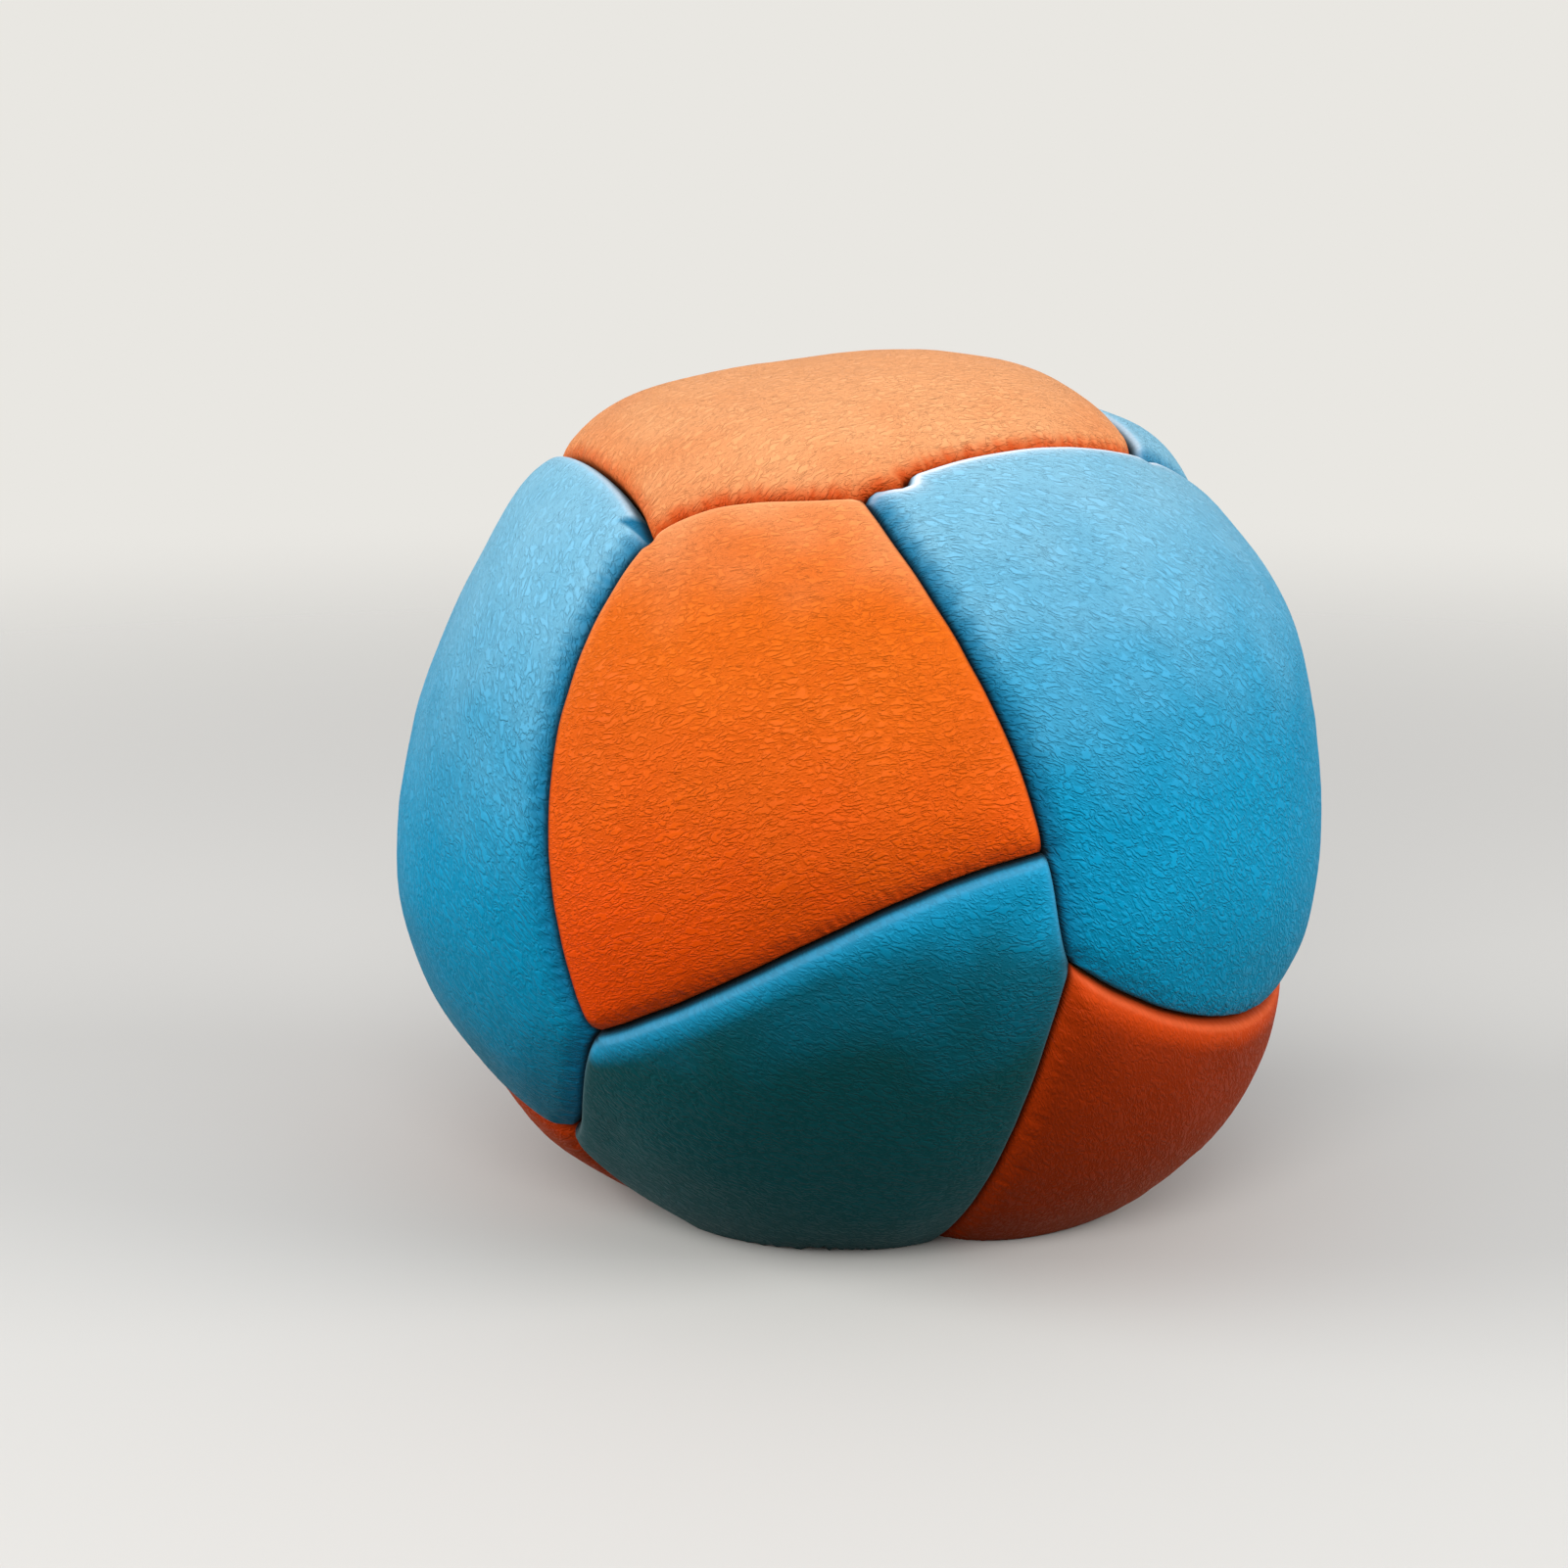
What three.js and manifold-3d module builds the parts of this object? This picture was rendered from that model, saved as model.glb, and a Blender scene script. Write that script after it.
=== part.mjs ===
// A hand-sewn footbag, eight leather panels over loose plastic pellets, settled on a flat surface.
// Millimetres, +Z up. The origin is on the surface under the middle of the bag, and the side with
// the front panel looks along -Y.
import * as THREE from "three";
import { mergeVertices } from "three/addons/utils/BufferGeometryUtils.js";
import Module from "manifold-3d";

const wasm = await Module();
wasm.setup();
const { degToRad } = THREE.MathUtils;

// The filled body, measured from its centre to the line of the seams
const bodyHalfWidth = 30.3;
const bodyHalfDepth = 29.9;
const bodyHeightAbove = 29.7;
const bodyHeightBelow = 30.6;
const centreHeight = 27.4;

// Where the pellets have settled, the body stands out or sinks in
const topSink = 1.7;
const rightShoulderBulge = 1;
const leftShoulderBulge = 1.2;
const leftSideSink = 1.8;
const hipBulge = 1.8;
const rightSideSink = 0.8;
const rightBackSink = 0.7;
const crownSink = 0.3;
const leftCornerBulge = 0.9;
const leftHipBulge = 0.6;

// The leather cover
const leatherThickness = 1.1;
const panelSwell = 1.0;
const swellReach = 12;
const rollWidth = 2.4;
const seamDepth = 1.4;
const seamGap = 0.3;
const allowanceDepth = 4;

// The sewing
const threadThickness = 0.7;
const threadClearance = 0.3;
const stitchPitch = 6;
const stitchDepth = 2.1;
const threadBendLength = 0.4;
const needleOverrun = 0.3;
const cornerLeadIn = 1.3;
const shortestStitch = 2.4;

// The pellets, taken as one bulk
const fillClearance = 0.3;
const fillShoulder = 0.5;

// Distances in from a seam, of the thread's line, the pellets' foot and edge, and the dome's start
const threadOffset = seamGap / 2 + leatherThickness + threadClearance + threadThickness / 2;
const fillFoot = threadOffset + threadThickness / 2 + fillClearance;
const fillEdge = fillFoot + fillShoulder;

// Spacing of the points along a seam
const seamPointSpacing = 5;
const seamSamples = 16;
const needleSides = 5;

// The rings of points between a panel's edge and its middle
const rollRingShares = [0.28, 0.62, 1.15];
const domeRingShares = [0.25, 0.5, 0.75];
const liningRingShares = [0.5];
const domeStart = Math.max(rollWidth * rollRingShares.at(-1), fillEdge);

// Half the widest corner that is mitred
const widestMitreDegrees = 70;

// Azimuth is 0 at the front and 90 at the right, elevation is 90 at the top
const cornerDegrees = {
  topFrontLeft: [-36.8, 41.7],
  topFrontRight: [0.5, 50.1],
  topBackRight: [74.3, 50.8],
  topBackLeft: [-132.8, 38.4],
  middleLeft: [-36.6, -21.9],
  middleRight: [22.6, 3.7],
  lowLeft: [-56.9, -42.2],
  lowRight: [26.4, -10.2],
  under: [-164.6, -80.1],
  backLeft: [-130, -5],
  backRight: [133.4, -6.8],
  backLow: [168, -28],
};

// Middle and spread of each place where the body stands out or sinks in
const lobes = [
  { middleDegrees: [-90, 82], spreadDegrees: 36, height: -topSink },
  { middleDegrees: [75, 54], spreadDegrees: 28, height: rightShoulderBulge },
  { middleDegrees: [-85, 50], spreadDegrees: 20, height: leftShoulderBulge },
  { middleDegrees: [-88, 25], spreadDegrees: 24, height: -leftSideSink },
  { middleDegrees: [62, -42], spreadDegrees: 24, height: hipBulge },
  { middleDegrees: [86, 2], spreadDegrees: 20, height: -rightSideSink },
  { middleDegrees: [80, 46], spreadDegrees: 16, height: -rightBackSink },
  { middleDegrees: [-110, 76], spreadDegrees: 18, height: -crownSink },
  { middleDegrees: [-72, 46], spreadDegrees: 13, height: leftCornerBulge },
  { middleDegrees: [-82, -24], spreadDegrees: 22, height: leftHipBulge },
];

// Each seam joins two corners and bows to one side of the straight way by some degrees, and may
// sway, which moves the bow towards one end
const seams = [
  { panels: ["top", "front"], corners: ["topFrontLeft", "topFrontRight"], bowDegrees: 1.6, swayDegrees: -2 },
  { panels: ["front", "left"], corners: ["topFrontLeft", "middleLeft"], bowDegrees: -3.8, swayDegrees: 0.7 },
  { panels: ["front", "right"], corners: ["topFrontRight", "middleRight"], bowDegrees: 0.5, swayDegrees: 0.9 },
  { panels: ["front", "lower_front"], corners: ["middleLeft", "middleRight"], bowDegrees: 3.1, swayDegrees: 1.9 },
  { panels: ["top", "right"], corners: ["topFrontRight", "topBackRight"], bowDegrees: -0.1, swayDegrees: -1.5 },
  { panels: ["top", "left"], corners: ["topFrontLeft", "topBackLeft"], bowDegrees: 3.1, swayDegrees: 7.9 },
  { panels: ["top", "back"], corners: ["topBackRight", "topBackLeft"], bowDegrees: -17, swayDegrees: 0 },
  { panels: ["right", "back"], corners: ["topBackRight", "backRight"], bowDegrees: 3, swayDegrees: -0 },
  { panels: ["left", "lower_front"], corners: ["middleLeft", "lowLeft"], bowDegrees: 1, swayDegrees: 1.5 },
  { panels: ["right", "lower_front"], corners: ["middleRight", "lowRight"], bowDegrees: -0.2, swayDegrees: -0.5 },
  { panels: ["right", "lower_right"], corners: ["lowRight", "backRight"], bowDegrees: -7.7, swayDegrees: 5.3 },
  { panels: ["lower_front", "lower_right"], corners: ["lowRight", "under"], bowDegrees: -4.2, swayDegrees: 1 },
  { panels: ["lower_front", "lower_left"], corners: ["lowLeft", "under"], bowDegrees: 2, swayDegrees: -0 },
  { panels: ["left", "lower_left"], corners: ["lowLeft", "backLeft"], bowDegrees: -5, swayDegrees: 0 },
  { panels: ["left", "back"], corners: ["topBackLeft", "backLeft"], bowDegrees: 4, swayDegrees: -0 },
  { panels: ["back", "lower_left"], corners: ["backLeft", "backLow"], bowDegrees: -3, swayDegrees: 0 },
  { panels: ["back", "lower_right"], corners: ["backRight", "backLow"], bowDegrees: 3, swayDegrees: 0 },
  { panels: ["lower_right", "lower_left"], corners: ["under", "backLow"], bowDegrees: 0, swayDegrees: 0 },
];

const orange = new THREE.MeshStandardMaterial({ color: 0xee6a12, roughness: 0.5, metalness: 0 });
const blue = new THREE.MeshStandardMaterial({ color: 0x2a9cc4, roughness: 0.5, metalness: 0 });
const darkThread = new THREE.MeshStandardMaterial({ color: 0x1b1d20, roughness: 0.8, metalness: 0 });
const palePlastic = new THREE.MeshStandardMaterial({ color: 0xd9d6cb, roughness: 0.45, metalness: 0 });

// Corners are listed anticlockwise as seen from outside
const panels = [
  { name: "top", leather: orange, corners: ["topFrontLeft", "topFrontRight", "topBackRight", "topBackLeft"] },
  { name: "front", leather: orange, corners: ["topFrontLeft", "middleLeft", "middleRight", "topFrontRight"] },
  { name: "lower_right", leather: orange, corners: ["lowRight", "under", "backLow", "backRight"] },
  { name: "lower_left", leather: orange, corners: ["lowLeft", "backLeft", "backLow", "under"] },
  { name: "left", leather: blue, corners: ["topFrontLeft", "topBackLeft", "backLeft", "lowLeft", "middleLeft"] },
  { name: "right", leather: blue, corners: ["topFrontRight", "middleRight", "lowRight", "backRight", "topBackRight"] },
  { name: "lower_front", leather: blue, corners: ["middleLeft", "lowLeft", "under", "lowRight", "middleRight"] },
  { name: "back", leather: blue, corners: ["topBackRight", "backRight", "backLow", "backLeft", "topBackLeft"] },
];

function direction(degrees) {
  const [azimuth, elevation] = degrees.map(degToRad);
  const across = Math.cos(elevation);
  return new THREE.Vector3(across * Math.sin(azimuth), -across * Math.cos(azimuth), Math.sin(elevation));
}

// The great circle way from one direction to another
function between(from, to, share) {
  const angle = from.angleTo(to);
  if (angle === 0) return from.clone();
  const start = from.clone().multiplyScalar(Math.sin((1 - share) * angle));
  return start.addScaledVector(to, Math.sin(share * angle)).divideScalar(Math.sin(angle));
}

// Distance from the body's centre to the line of the seams, before it meets the surface below
function bodyRadius(way) {
  const bodyHalfHeight = way.z > 0 ? bodyHeightAbove : bodyHeightBelow;
  const stretched = new THREE.Vector3(way.x / bodyHalfWidth, way.y / bodyHalfDepth, way.z / bodyHalfHeight);
  let radius = 1 / stretched.length();
  for (const lobe of lobes) {
    const apart = way.angleTo(direction(lobe.middleDegrees)) / degToRad(lobe.spreadDegrees);
    radius += lobe.height * Math.exp(-apart * apart);
  }
  return radius;
}

// The panel's height over the line of the seams, which swells up from the rolled edge
function swell(fromSeam) {
  const reached = Math.min(fromSeam / swellReach, 1);
  return panelSwell * (1 - (1 - reached) ** 2);
}

// How far the rolled edge drops towards the seam
function rollDrop(fromSeam) {
  const inRoll = Math.max(1 - fromSeam / rollWidth, 0);
  return seamDepth * (1 - Math.sqrt(1 - inRoll * inRoll));
}

// The settled cover's radius: the surface below flattens it
function coverRadius(way, fromSeam, depth) {
  let radius = bodyRadius(way) + swell(fromSeam);
  if (way.z < 0) radius = Math.min(radius, centreHeight / -way.z);
  return radius - rollDrop(fromSeam) - depth;
}

function place(way, radius) {
  return way.clone().multiplyScalar(radius).add(new THREE.Vector3(0, 0, centreHeight));
}

function seamWay(seam, share) {
  const [from, to] = seam.corners.map((corner) => direction(cornerDegrees[corner]));
  const sideways = from.clone().cross(to).normalize();
  const swayed = seam.bowDegrees + seam.swayDegrees * (2 * share - 1);
  const bow = degToRad(swayed) * 4 * share * (1 - share);
  return between(from, to, share).multiplyScalar(Math.cos(bow)).addScaledVector(sideways, Math.sin(bow));
}

function seamWays(seam, count) {
  return Array.from({ length: count + 1 }, (_, step) => seamWay(seam, step / count));
}

for (const seam of seams) {
  seam.samples = seamWays(seam, seamSamples);
  const places = seam.samples.map((way) => place(way, bodyRadius(way)));
  let length = 0;
  for (let step = 1; step < places.length; step++) length += places[step].distanceTo(places[step - 1]);
  seam.stations = seamWays(seam, Math.max(2, Math.round(length / seamPointSpacing)));
}

// The seam between two corners, in the order asked for
function seamPoints(from, to, kind) {
  const seam = seams.find(({ corners }) => corners.includes(from) && corners.includes(to));
  return seam.corners[0] === from ? seam[kind] : [...seam[kind]].reverse();
}

function panelOutline(panel, kind) {
  return panel.corners.flatMap((corner, turn) => {
    const next = panel.corners[(turn + 1) % panel.corners.length];
    return seamPoints(corner, next, kind).slice(0, -1);
  });
}

// Distance from a direction to a closed outline, on a sphere of radius 1
function outlineDistance(way, outline) {
  let nearest = Infinity;
  const near = new THREE.Vector3();
  for (let step = 0; step < outline.length; step++) {
    const line = new THREE.Line3(outline[step], outline[(step + 1) % outline.length]);
    line.closestPointToPoint(way, true, near);
    nearest = Math.min(nearest, near.distanceTo(way));
  }
  return nearest;
}

// Halfway between the two seams that meet at a panel's corner, unless they run almost straight on
function cornerMitre(panel, turn) {
  const count = panel.corners.length;
  const corner = panel.corners[turn];
  const [point, onward] = seamPoints(corner, panel.corners[(turn + 1) % count], "samples");
  const [, back] = seamPoints(corner, panel.corners[(turn + count - 1) % count], "samples");
  const [one, other] = [onward, back].map((next) => next.clone().sub(point).normalize());
  const half = one.angleTo(other) / 2;
  const spoke = seamPoints(corner, panel.corners[(turn + 1) % count], "stations")[0];
  if (half > degToRad(widestMitreDegrees)) return [corner, null];
  return [spoke, { inward: one.add(other).normalize(), sine: Math.sin(half) }];
}

for (const panel of panels) {
  panel.outline = panelOutline(panel, "samples");
  panel.spokes = panelOutline(panel, "stations");
  panel.middle = new THREE.Vector3();
  for (const way of panel.outline) panel.middle.add(way);
  panel.middle.normalize();
  panel.mitres = new Map(panel.corners.map((_, turn) => cornerMitre(panel, turn)));
}

// The point that lies a given distance in from the seams, on a corner's mitre or on a spoke
function insetWay(panel, spoke, inset, radius) {
  const wanted = inset / radius;
  const mitre = panel.mitres.get(spoke);
  if (mitre) return spoke.clone().addScaledVector(mitre.inward, wanted / mitre.sine).normalize();
  let share = wanted / spoke.angleTo(panel.middle);
  for (let turn = 0; turn < 8; turn++) {
    const reached = outlineDistance(between(spoke, panel.middle, share), panel.outline);
    share = Math.min((share * wanted) / reached, 1);
  }
  return between(spoke, panel.middle, share);
}

function insetRing(panel, inset, depth) {
  return panel.spokes.map((spoke) => {
    const way = insetWay(panel, spoke, inset, bodyRadius(spoke));
    return place(way, coverRadius(way, inset, depth));
  });
}

// A ring part of the way from the start of the dome to the panel's middle
function domeRing(panel, share, depth) {
  return panel.spokes.map((spoke) => {
    const start = insetWay(panel, spoke, domeStart, bodyRadius(spoke));
    const way = between(start, panel.middle, share);
    const fromSeam = outlineDistance(way, panel.outline) * bodyRadius(way);
    return place(way, coverRadius(way, fromSeam, depth));
  });
}

function middlePoint(panel, depth) {
  const fromSeam = outlineDistance(panel.middle, panel.outline) * bodyRadius(panel.middle);
  return place(panel.middle, coverRadius(panel.middle, fromSeam, depth));
}

// The edge of a turned-in allowance, at a given drop below the line of the seams
function allowanceRing(panel, inset, drop) {
  return panel.spokes.map((spoke) => {
    const radius = coverRadius(spoke, 0, 0) + seamDepth - drop;
    return place(insetWay(panel, spoke, inset, radius), radius);
  });
}

function trianglesGeometry(triangles) {
  const positions = new Float32Array(triangles.flatMap((corner) => corner.toArray()));
  return new THREE.BufferGeometry().setAttribute("position", new THREE.BufferAttribute(positions, 3));
}

function fanTriangles(middle, ring, middleFirst) {
  return ring.flatMap((point, turn) => {
    const next = ring[(turn + 1) % ring.length];
    return middleFirst ? [middle, point, next] : [point, middle, next];
  });
}

// Each four-sided patch is split along its shorter diagonal
function bandTriangles(inner, outer) {
  return inner.flatMap((point, turn) => {
    const next = (turn + 1) % inner.length;
    if (point.distanceTo(outer[next]) < inner[next].distanceTo(outer[turn])) {
      return [point, outer[turn], outer[next], point, outer[next], inner[next]];
    }
    return [point, outer[turn], inner[next], outer[turn], outer[next], inner[next]];
  });
}

function ringsTriangles(rings) {
  return rings.slice(1).flatMap((ring, turn) => bandTriangles(rings[turn], ring));
}

function solidFrom(geometry) {
  const merged = mergeVertices(geometry);
  const mesh = new wasm.Mesh({
    numProp: 3,
    vertProperties: merged.attributes.position.array,
    triVerts: new Uint32Array(merged.index.array),
  });
  return new wasm.Manifold(mesh);
}

function geometryFrom(solid) {
  const { vertProperties, triVerts } = solid.getMesh();
  return new THREE.BufferGeometry()
    .setAttribute("position", new THREE.BufferAttribute(new Float32Array(vertProperties), 3))
    .setIndex(new THREE.BufferAttribute(new Uint32Array(triVerts), 1));
}

// Leather dome with a rolled edge and a turned-in seam allowance
function coverPanelGeometry(panel) {
  const edge = seamGap / 2;
  const foldedEdge = edge + leatherThickness;
  const tipDrop = seamDepth + allowanceDepth;
  const rollInsets = rollRingShares.map((share) => share * rollWidth);
  const insideRoot = panel.spokes.map((spoke) => {
    const way = insetWay(panel, spoke, foldedEdge, bodyRadius(spoke));
    return place(way, coverRadius(way, foldedEdge, leatherThickness));
  });
  const rings = [
    ...[...domeRingShares].reverse().map((share) => domeRing(panel, share, 0)),
    ...[...rollInsets].reverse().map((inset) => insetRing(panel, inset, 0)),
    insetRing(panel, edge, 0),
    allowanceRing(panel, edge, tipDrop),
    allowanceRing(panel, foldedEdge, tipDrop),
    insideRoot,
    insetRing(panel, fillEdge, leatherThickness),
    ...liningRingShares.map((share) => domeRing(panel, share, leatherThickness)),
  ];
  return trianglesGeometry([
    ...fanTriangles(middlePoint(panel, 0), rings[0], true),
    ...ringsTriangles(rings),
    ...fanTriangles(middlePoint(panel, leatherThickness), rings.at(-1), false),
  ]);
}

function stitchRadius(way) {
  return coverRadius(way, 0, 0) - stitchDepth;
}

// Point, way along, way across and way out at each of a seam's needle holes
function seamFrame(seam, share) {
  const way = seamWay(seam, share);
  const step = 1 / (seamSamples * seamSamples);
  const before = seamWay(seam, Math.max(share - step, 0));
  const after = seamWay(seam, Math.min(share + step, 1));
  const along = place(after, stitchRadius(after)).sub(place(before, stitchRadius(before))).normalize();
  const across = way.clone().cross(along).normalize();
  return { point: place(way, stitchRadius(way)), along, across, out: along.clone().cross(across).normalize() };
}

// The thread starts where the allowances of the panels round a corner leave room for it
function cornerRoom(seam, corner) {
  const reach = threadOffset + threadThickness / 2;
  const tangentAt = (other) => {
    const [near, next] = seamPoints(corner, other, "samples");
    return next.clone().sub(near).normalize();
  };
  const own = seam.corners.find((name) => name !== corner);
  const others = seams.filter((other) => other !== seam && other.corners.includes(corner));
  const rooms = others.map((other) => {
    const angle = tangentAt(own).angleTo(tangentAt(other.corners.find((name) => name !== corner)));
    return reach / Math.tan(angle / 2) + threadClearance / Math.sin(angle);
  });
  return Math.max(...rooms) + cornerLeadIn;
}

// Shares of the seam at which the thread goes through both allowances
function needleShares(seam) {
  const places = seam.samples.map((way) => place(way, stitchRadius(way)));
  const lengths = [0];
  for (let step = 1; step < places.length; step++) {
    lengths.push(lengths.at(-1) + places[step].distanceTo(places[step - 1]));
  }
  let first = cornerRoom(seam, seam.corners[0]);
  let last = lengths.at(-1) - cornerRoom(seam, seam.corners[1]);
  const short = Math.max(shortestStitch - (last - first), 0);
  first -= short / 2;
  last += short / 2;
  const stitches = Math.max(1, Math.round((last - first) / stitchPitch));
  return Array.from({ length: stitches + 1 }, (_, hole) => {
    const wanted = first + ((last - first) * hole) / stitches;
    const step = Math.max(1, lengths.findIndex((length) => length >= wanted));
    const part = (wanted - lengths[step - 1]) / (lengths[step] - lengths[step - 1]);
    return (step - 1 + part) / seamSamples;
  });
}

for (const seam of seams) seam.needles = needleShares(seam).map((share) => seamFrame(seam, share));

// A short bar through both allowances, which cuts one needle hole in each
function needleSolid({ point, along, across }) {
  const holeRadius = (threadThickness / 2 + threadClearance) / Math.cos(Math.PI / needleSides);
  const length = seamGap + 2 * (leatherThickness + needleOverrun);
  const needle = new THREE.CylinderGeometry(holeRadius, holeRadius, length, needleSides);
  needle.deleteAttribute("normal");
  needle.deleteAttribute("uv");
  const up = along.clone().cross(across);
  needle.applyMatrix4(new THREE.Matrix4().makeBasis(along, across, up).setPosition(point));
  return solidFrom(needle);
}

// The thread weaves through the holes and runs along each allowance in turn
function threadPath(seam) {
  const corners = seam.needles.flatMap(({ point, across, out }, hole) => {
    const side = hole % 2 === 0 ? 1 : -1;
    return [-side, side].map((sign) => ({ point: point.clone().addScaledVector(across, sign * threadOffset), out }));
  });
  return corners.flatMap((corner, turn) => {
    if (turn === 0 || turn === corners.length - 1) return [corner];
    return [corners[turn - 1], corners[turn + 1]].map((neighbour) => {
      const bend = neighbour.point.clone().sub(corner.point).setLength(threadBendLength);
      return { point: corner.point.clone().add(bend), out: corner.out };
    });
  });
}

function threadRing(path, turn) {
  const radius = threadThickness / 2;
  const { point, out } = path[turn];
  const before = point.clone().sub((path[turn - 1] ?? path[turn]).point).normalize();
  const after = (path[turn + 1] ?? path[turn]).point.clone().sub(point).normalize();
  const along = before.clone().add(after).normalize();
  const across = out.clone().cross(along).normalize();
  const straight = Math.max(before.dot(along), after.dot(along));
  const wide = across.multiplyScalar(radius / straight);
  const high = along.clone().cross(wide).normalize().multiplyScalar(radius);
  return [wide, high, wide.clone().negate(), high.clone().negate()].map((arm) => point.clone().add(arm));
}

function threadGeometry(seam) {
  const path = threadPath(seam);
  const rings = path.map((_, turn) => threadRing(path, turn).reverse());
  const [start, end] = [path[0].point, path.at(-1).point];
  return trianglesGeometry([
    ...fanTriangles(start, rings[0], true),
    ...ringsTriangles(rings),
    ...fanTriangles(end, rings.at(-1), false),
  ]);
}

// The pellets fill each dome up to the leather and pass under the allowances
function fillGeometry() {
  const underAllowance = seamDepth + allowanceDepth + fillClearance;
  const depth = leatherThickness + fillClearance;
  return trianglesGeometry(
    panels.flatMap((panel) => {
      const rings = [
        ...[...liningRingShares].reverse().map((share) => domeRing(panel, share, depth)),
        insetRing(panel, fillEdge, depth),
        allowanceRing(panel, fillFoot, underAllowance),
        panel.spokes.map((spoke) => place(spoke, coverRadius(spoke, 0, 0) + seamDepth - underAllowance)),
      ];
      return [...fanTriangles(middlePoint(panel, depth), rings[0], true), ...ringsTriangles(rings)];
    }),
  );
}

function namedMesh(name, geometry, material) {
  geometry.computeVertexNormals();
  const mesh = new THREE.Mesh(geometry, material);
  mesh.name = name;
  return mesh;
}

const footbag = new THREE.Group();

for (const panel of panels) {
  const needles = seams.filter((seam) => seam.panels.includes(panel.name)).flatMap((seam) => seam.needles);
  const sewn = wasm.Manifold.difference([solidFrom(coverPanelGeometry(panel)), ...needles.map(needleSolid)]);
  footbag.add(namedMesh(`panel_${panel.name}`, geometryFrom(sewn), panel.leather));
}

for (const seam of seams) {
  footbag.add(namedMesh(`stitches_${seam.panels.join("_to_")}`, threadGeometry(seam), darkThread));
}

footbag.add(namedMesh("pellet_fill", fillGeometry(), palePlastic));

// The middle of the bag's width and depth goes over the origin
const box = new THREE.Box3().setFromObject(footbag);
const middle = box.getCenter(new THREE.Vector3());
footbag.position.set(-middle.x, -middle.y, 0);

export default footbag;
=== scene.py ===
# %% [markdown]
# # Dressing a sewn kick bag
#
# A footbag is a palm-sized ball that is kept in the air with the feet. This one has eight panels
# of soft leather, four orange and four blue. They are stitched together inside out, turned, and
# filled with plastic pellets. The plain solids of the bag are loaded first and never change. The
# lesson then makes the leather, the thread and the pellets that are seen, in the same places.

# %% Load the plain bag
import math
import bpy
import numpy as np
from mathutils import Euler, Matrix, Vector, kdtree, noise


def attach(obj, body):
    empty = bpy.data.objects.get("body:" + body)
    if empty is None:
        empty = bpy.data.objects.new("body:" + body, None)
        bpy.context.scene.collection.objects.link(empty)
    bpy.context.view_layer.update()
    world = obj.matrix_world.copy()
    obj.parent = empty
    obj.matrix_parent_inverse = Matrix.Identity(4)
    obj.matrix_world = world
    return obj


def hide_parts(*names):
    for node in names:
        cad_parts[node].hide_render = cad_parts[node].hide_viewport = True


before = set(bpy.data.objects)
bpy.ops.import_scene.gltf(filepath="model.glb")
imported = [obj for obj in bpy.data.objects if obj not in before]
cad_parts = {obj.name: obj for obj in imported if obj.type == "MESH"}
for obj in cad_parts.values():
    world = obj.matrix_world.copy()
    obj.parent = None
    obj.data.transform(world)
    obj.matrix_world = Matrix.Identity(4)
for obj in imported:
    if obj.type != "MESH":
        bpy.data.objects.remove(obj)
bpy.context.view_layer.update()

# %% [markdown]
# ## Where the photographer stood
#
# The bag was photographed close up from a little above. An 85 mm lens a quarter of a metre away
# gives the same mild perspective. The camera is turned a little, so that the bag falls to the
# right of the middle of the picture as it does in the photograph. No lens shift is needed.

# %% Set the camera
millimetre = 0.001
picture_width = 1601
lens_length = 85
sensor_width = 36
stand_off = 252 * millimetre
look_down = math.radians(12)
bag_centre = Vector((0.258, -0.275, 27.4)) * millimetre
bag_pixel = (877, 806)

pixels_per_unit = lens_length / sensor_width * picture_width
turn = (bag_pixel[0] - picture_width / 2) / pixels_per_unit
tilt = (bag_pixel[1] - picture_width / 2) / pixels_per_unit
to_camera = Vector((0, -math.cos(look_down), math.sin(look_down)))
straight_right = Vector((1, 0, 0))
straight_up = straight_right.cross(-to_camera)
looking = -to_camera - straight_right * turn + straight_up * tilt

camera = bpy.data.objects.new("camera", bpy.data.cameras.new("camera"))
bpy.context.scene.collection.objects.link(camera)
camera.data.lens = lens_length
camera.data.sensor_width = sensor_width
camera.data.clip_start = millimetre
camera.location = bag_centre + to_camera * stand_off
camera.rotation_euler = looking.to_track_quat("-Z", "Y").to_euler()
bpy.context.scene.camera = camera
print("camera stands at", [round(x, 4) for x in camera.location])

# %% [markdown]
# ## The bag as a set of directions
#
# Every point of the cover is given by a direction from the middle of the bag and a distance.
# That makes a sewn ball easy to write down: a seam is a curve of directions between two corners,
# and a panel is the patch inside its seams. The numbers are those of the plain solids, in
# millimetres, so the leather comes out where the solids are.

# %% The filled body
body_half_width, body_half_depth = 30.3, 29.9
body_height_above, body_height_below = 29.7, 30.6
centre_height = 27.4
placed_at = np.array([0.2584, -0.2755, centre_height])

# Each place where the pellets have settled: azimuth and elevation, spread in degrees, height in mm
settled_places = [
    ((-90, 82), 36, -1.7),
    ((75, 54), 28, 1),
    ((-85, 50), 20, 1.2),
    ((-88, 25), 24, -1.8),
    ((62, -42), 24, 1.8),
    ((86, 2), 20, -0.8),
    ((80, 46), 16, -0.7),
    ((-110, 76), 18, -0.3),
    ((-72, 46), 13, 0.9),
    ((-82, -24), 22, 0.6),
]


def direction(degrees):
    """Azimuth is 0 at the front and 90 at the right, elevation is 90 at the top."""
    azimuth, elevation = np.radians(degrees)
    across = np.cos(elevation)
    return np.array([across * np.sin(azimuth), -across * np.cos(azimuth), np.sin(elevation)])


def apart(ways, way):
    """Degrees between many directions and one."""
    return np.degrees(np.arccos(np.clip(ways @ way, -1, 1)))


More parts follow.
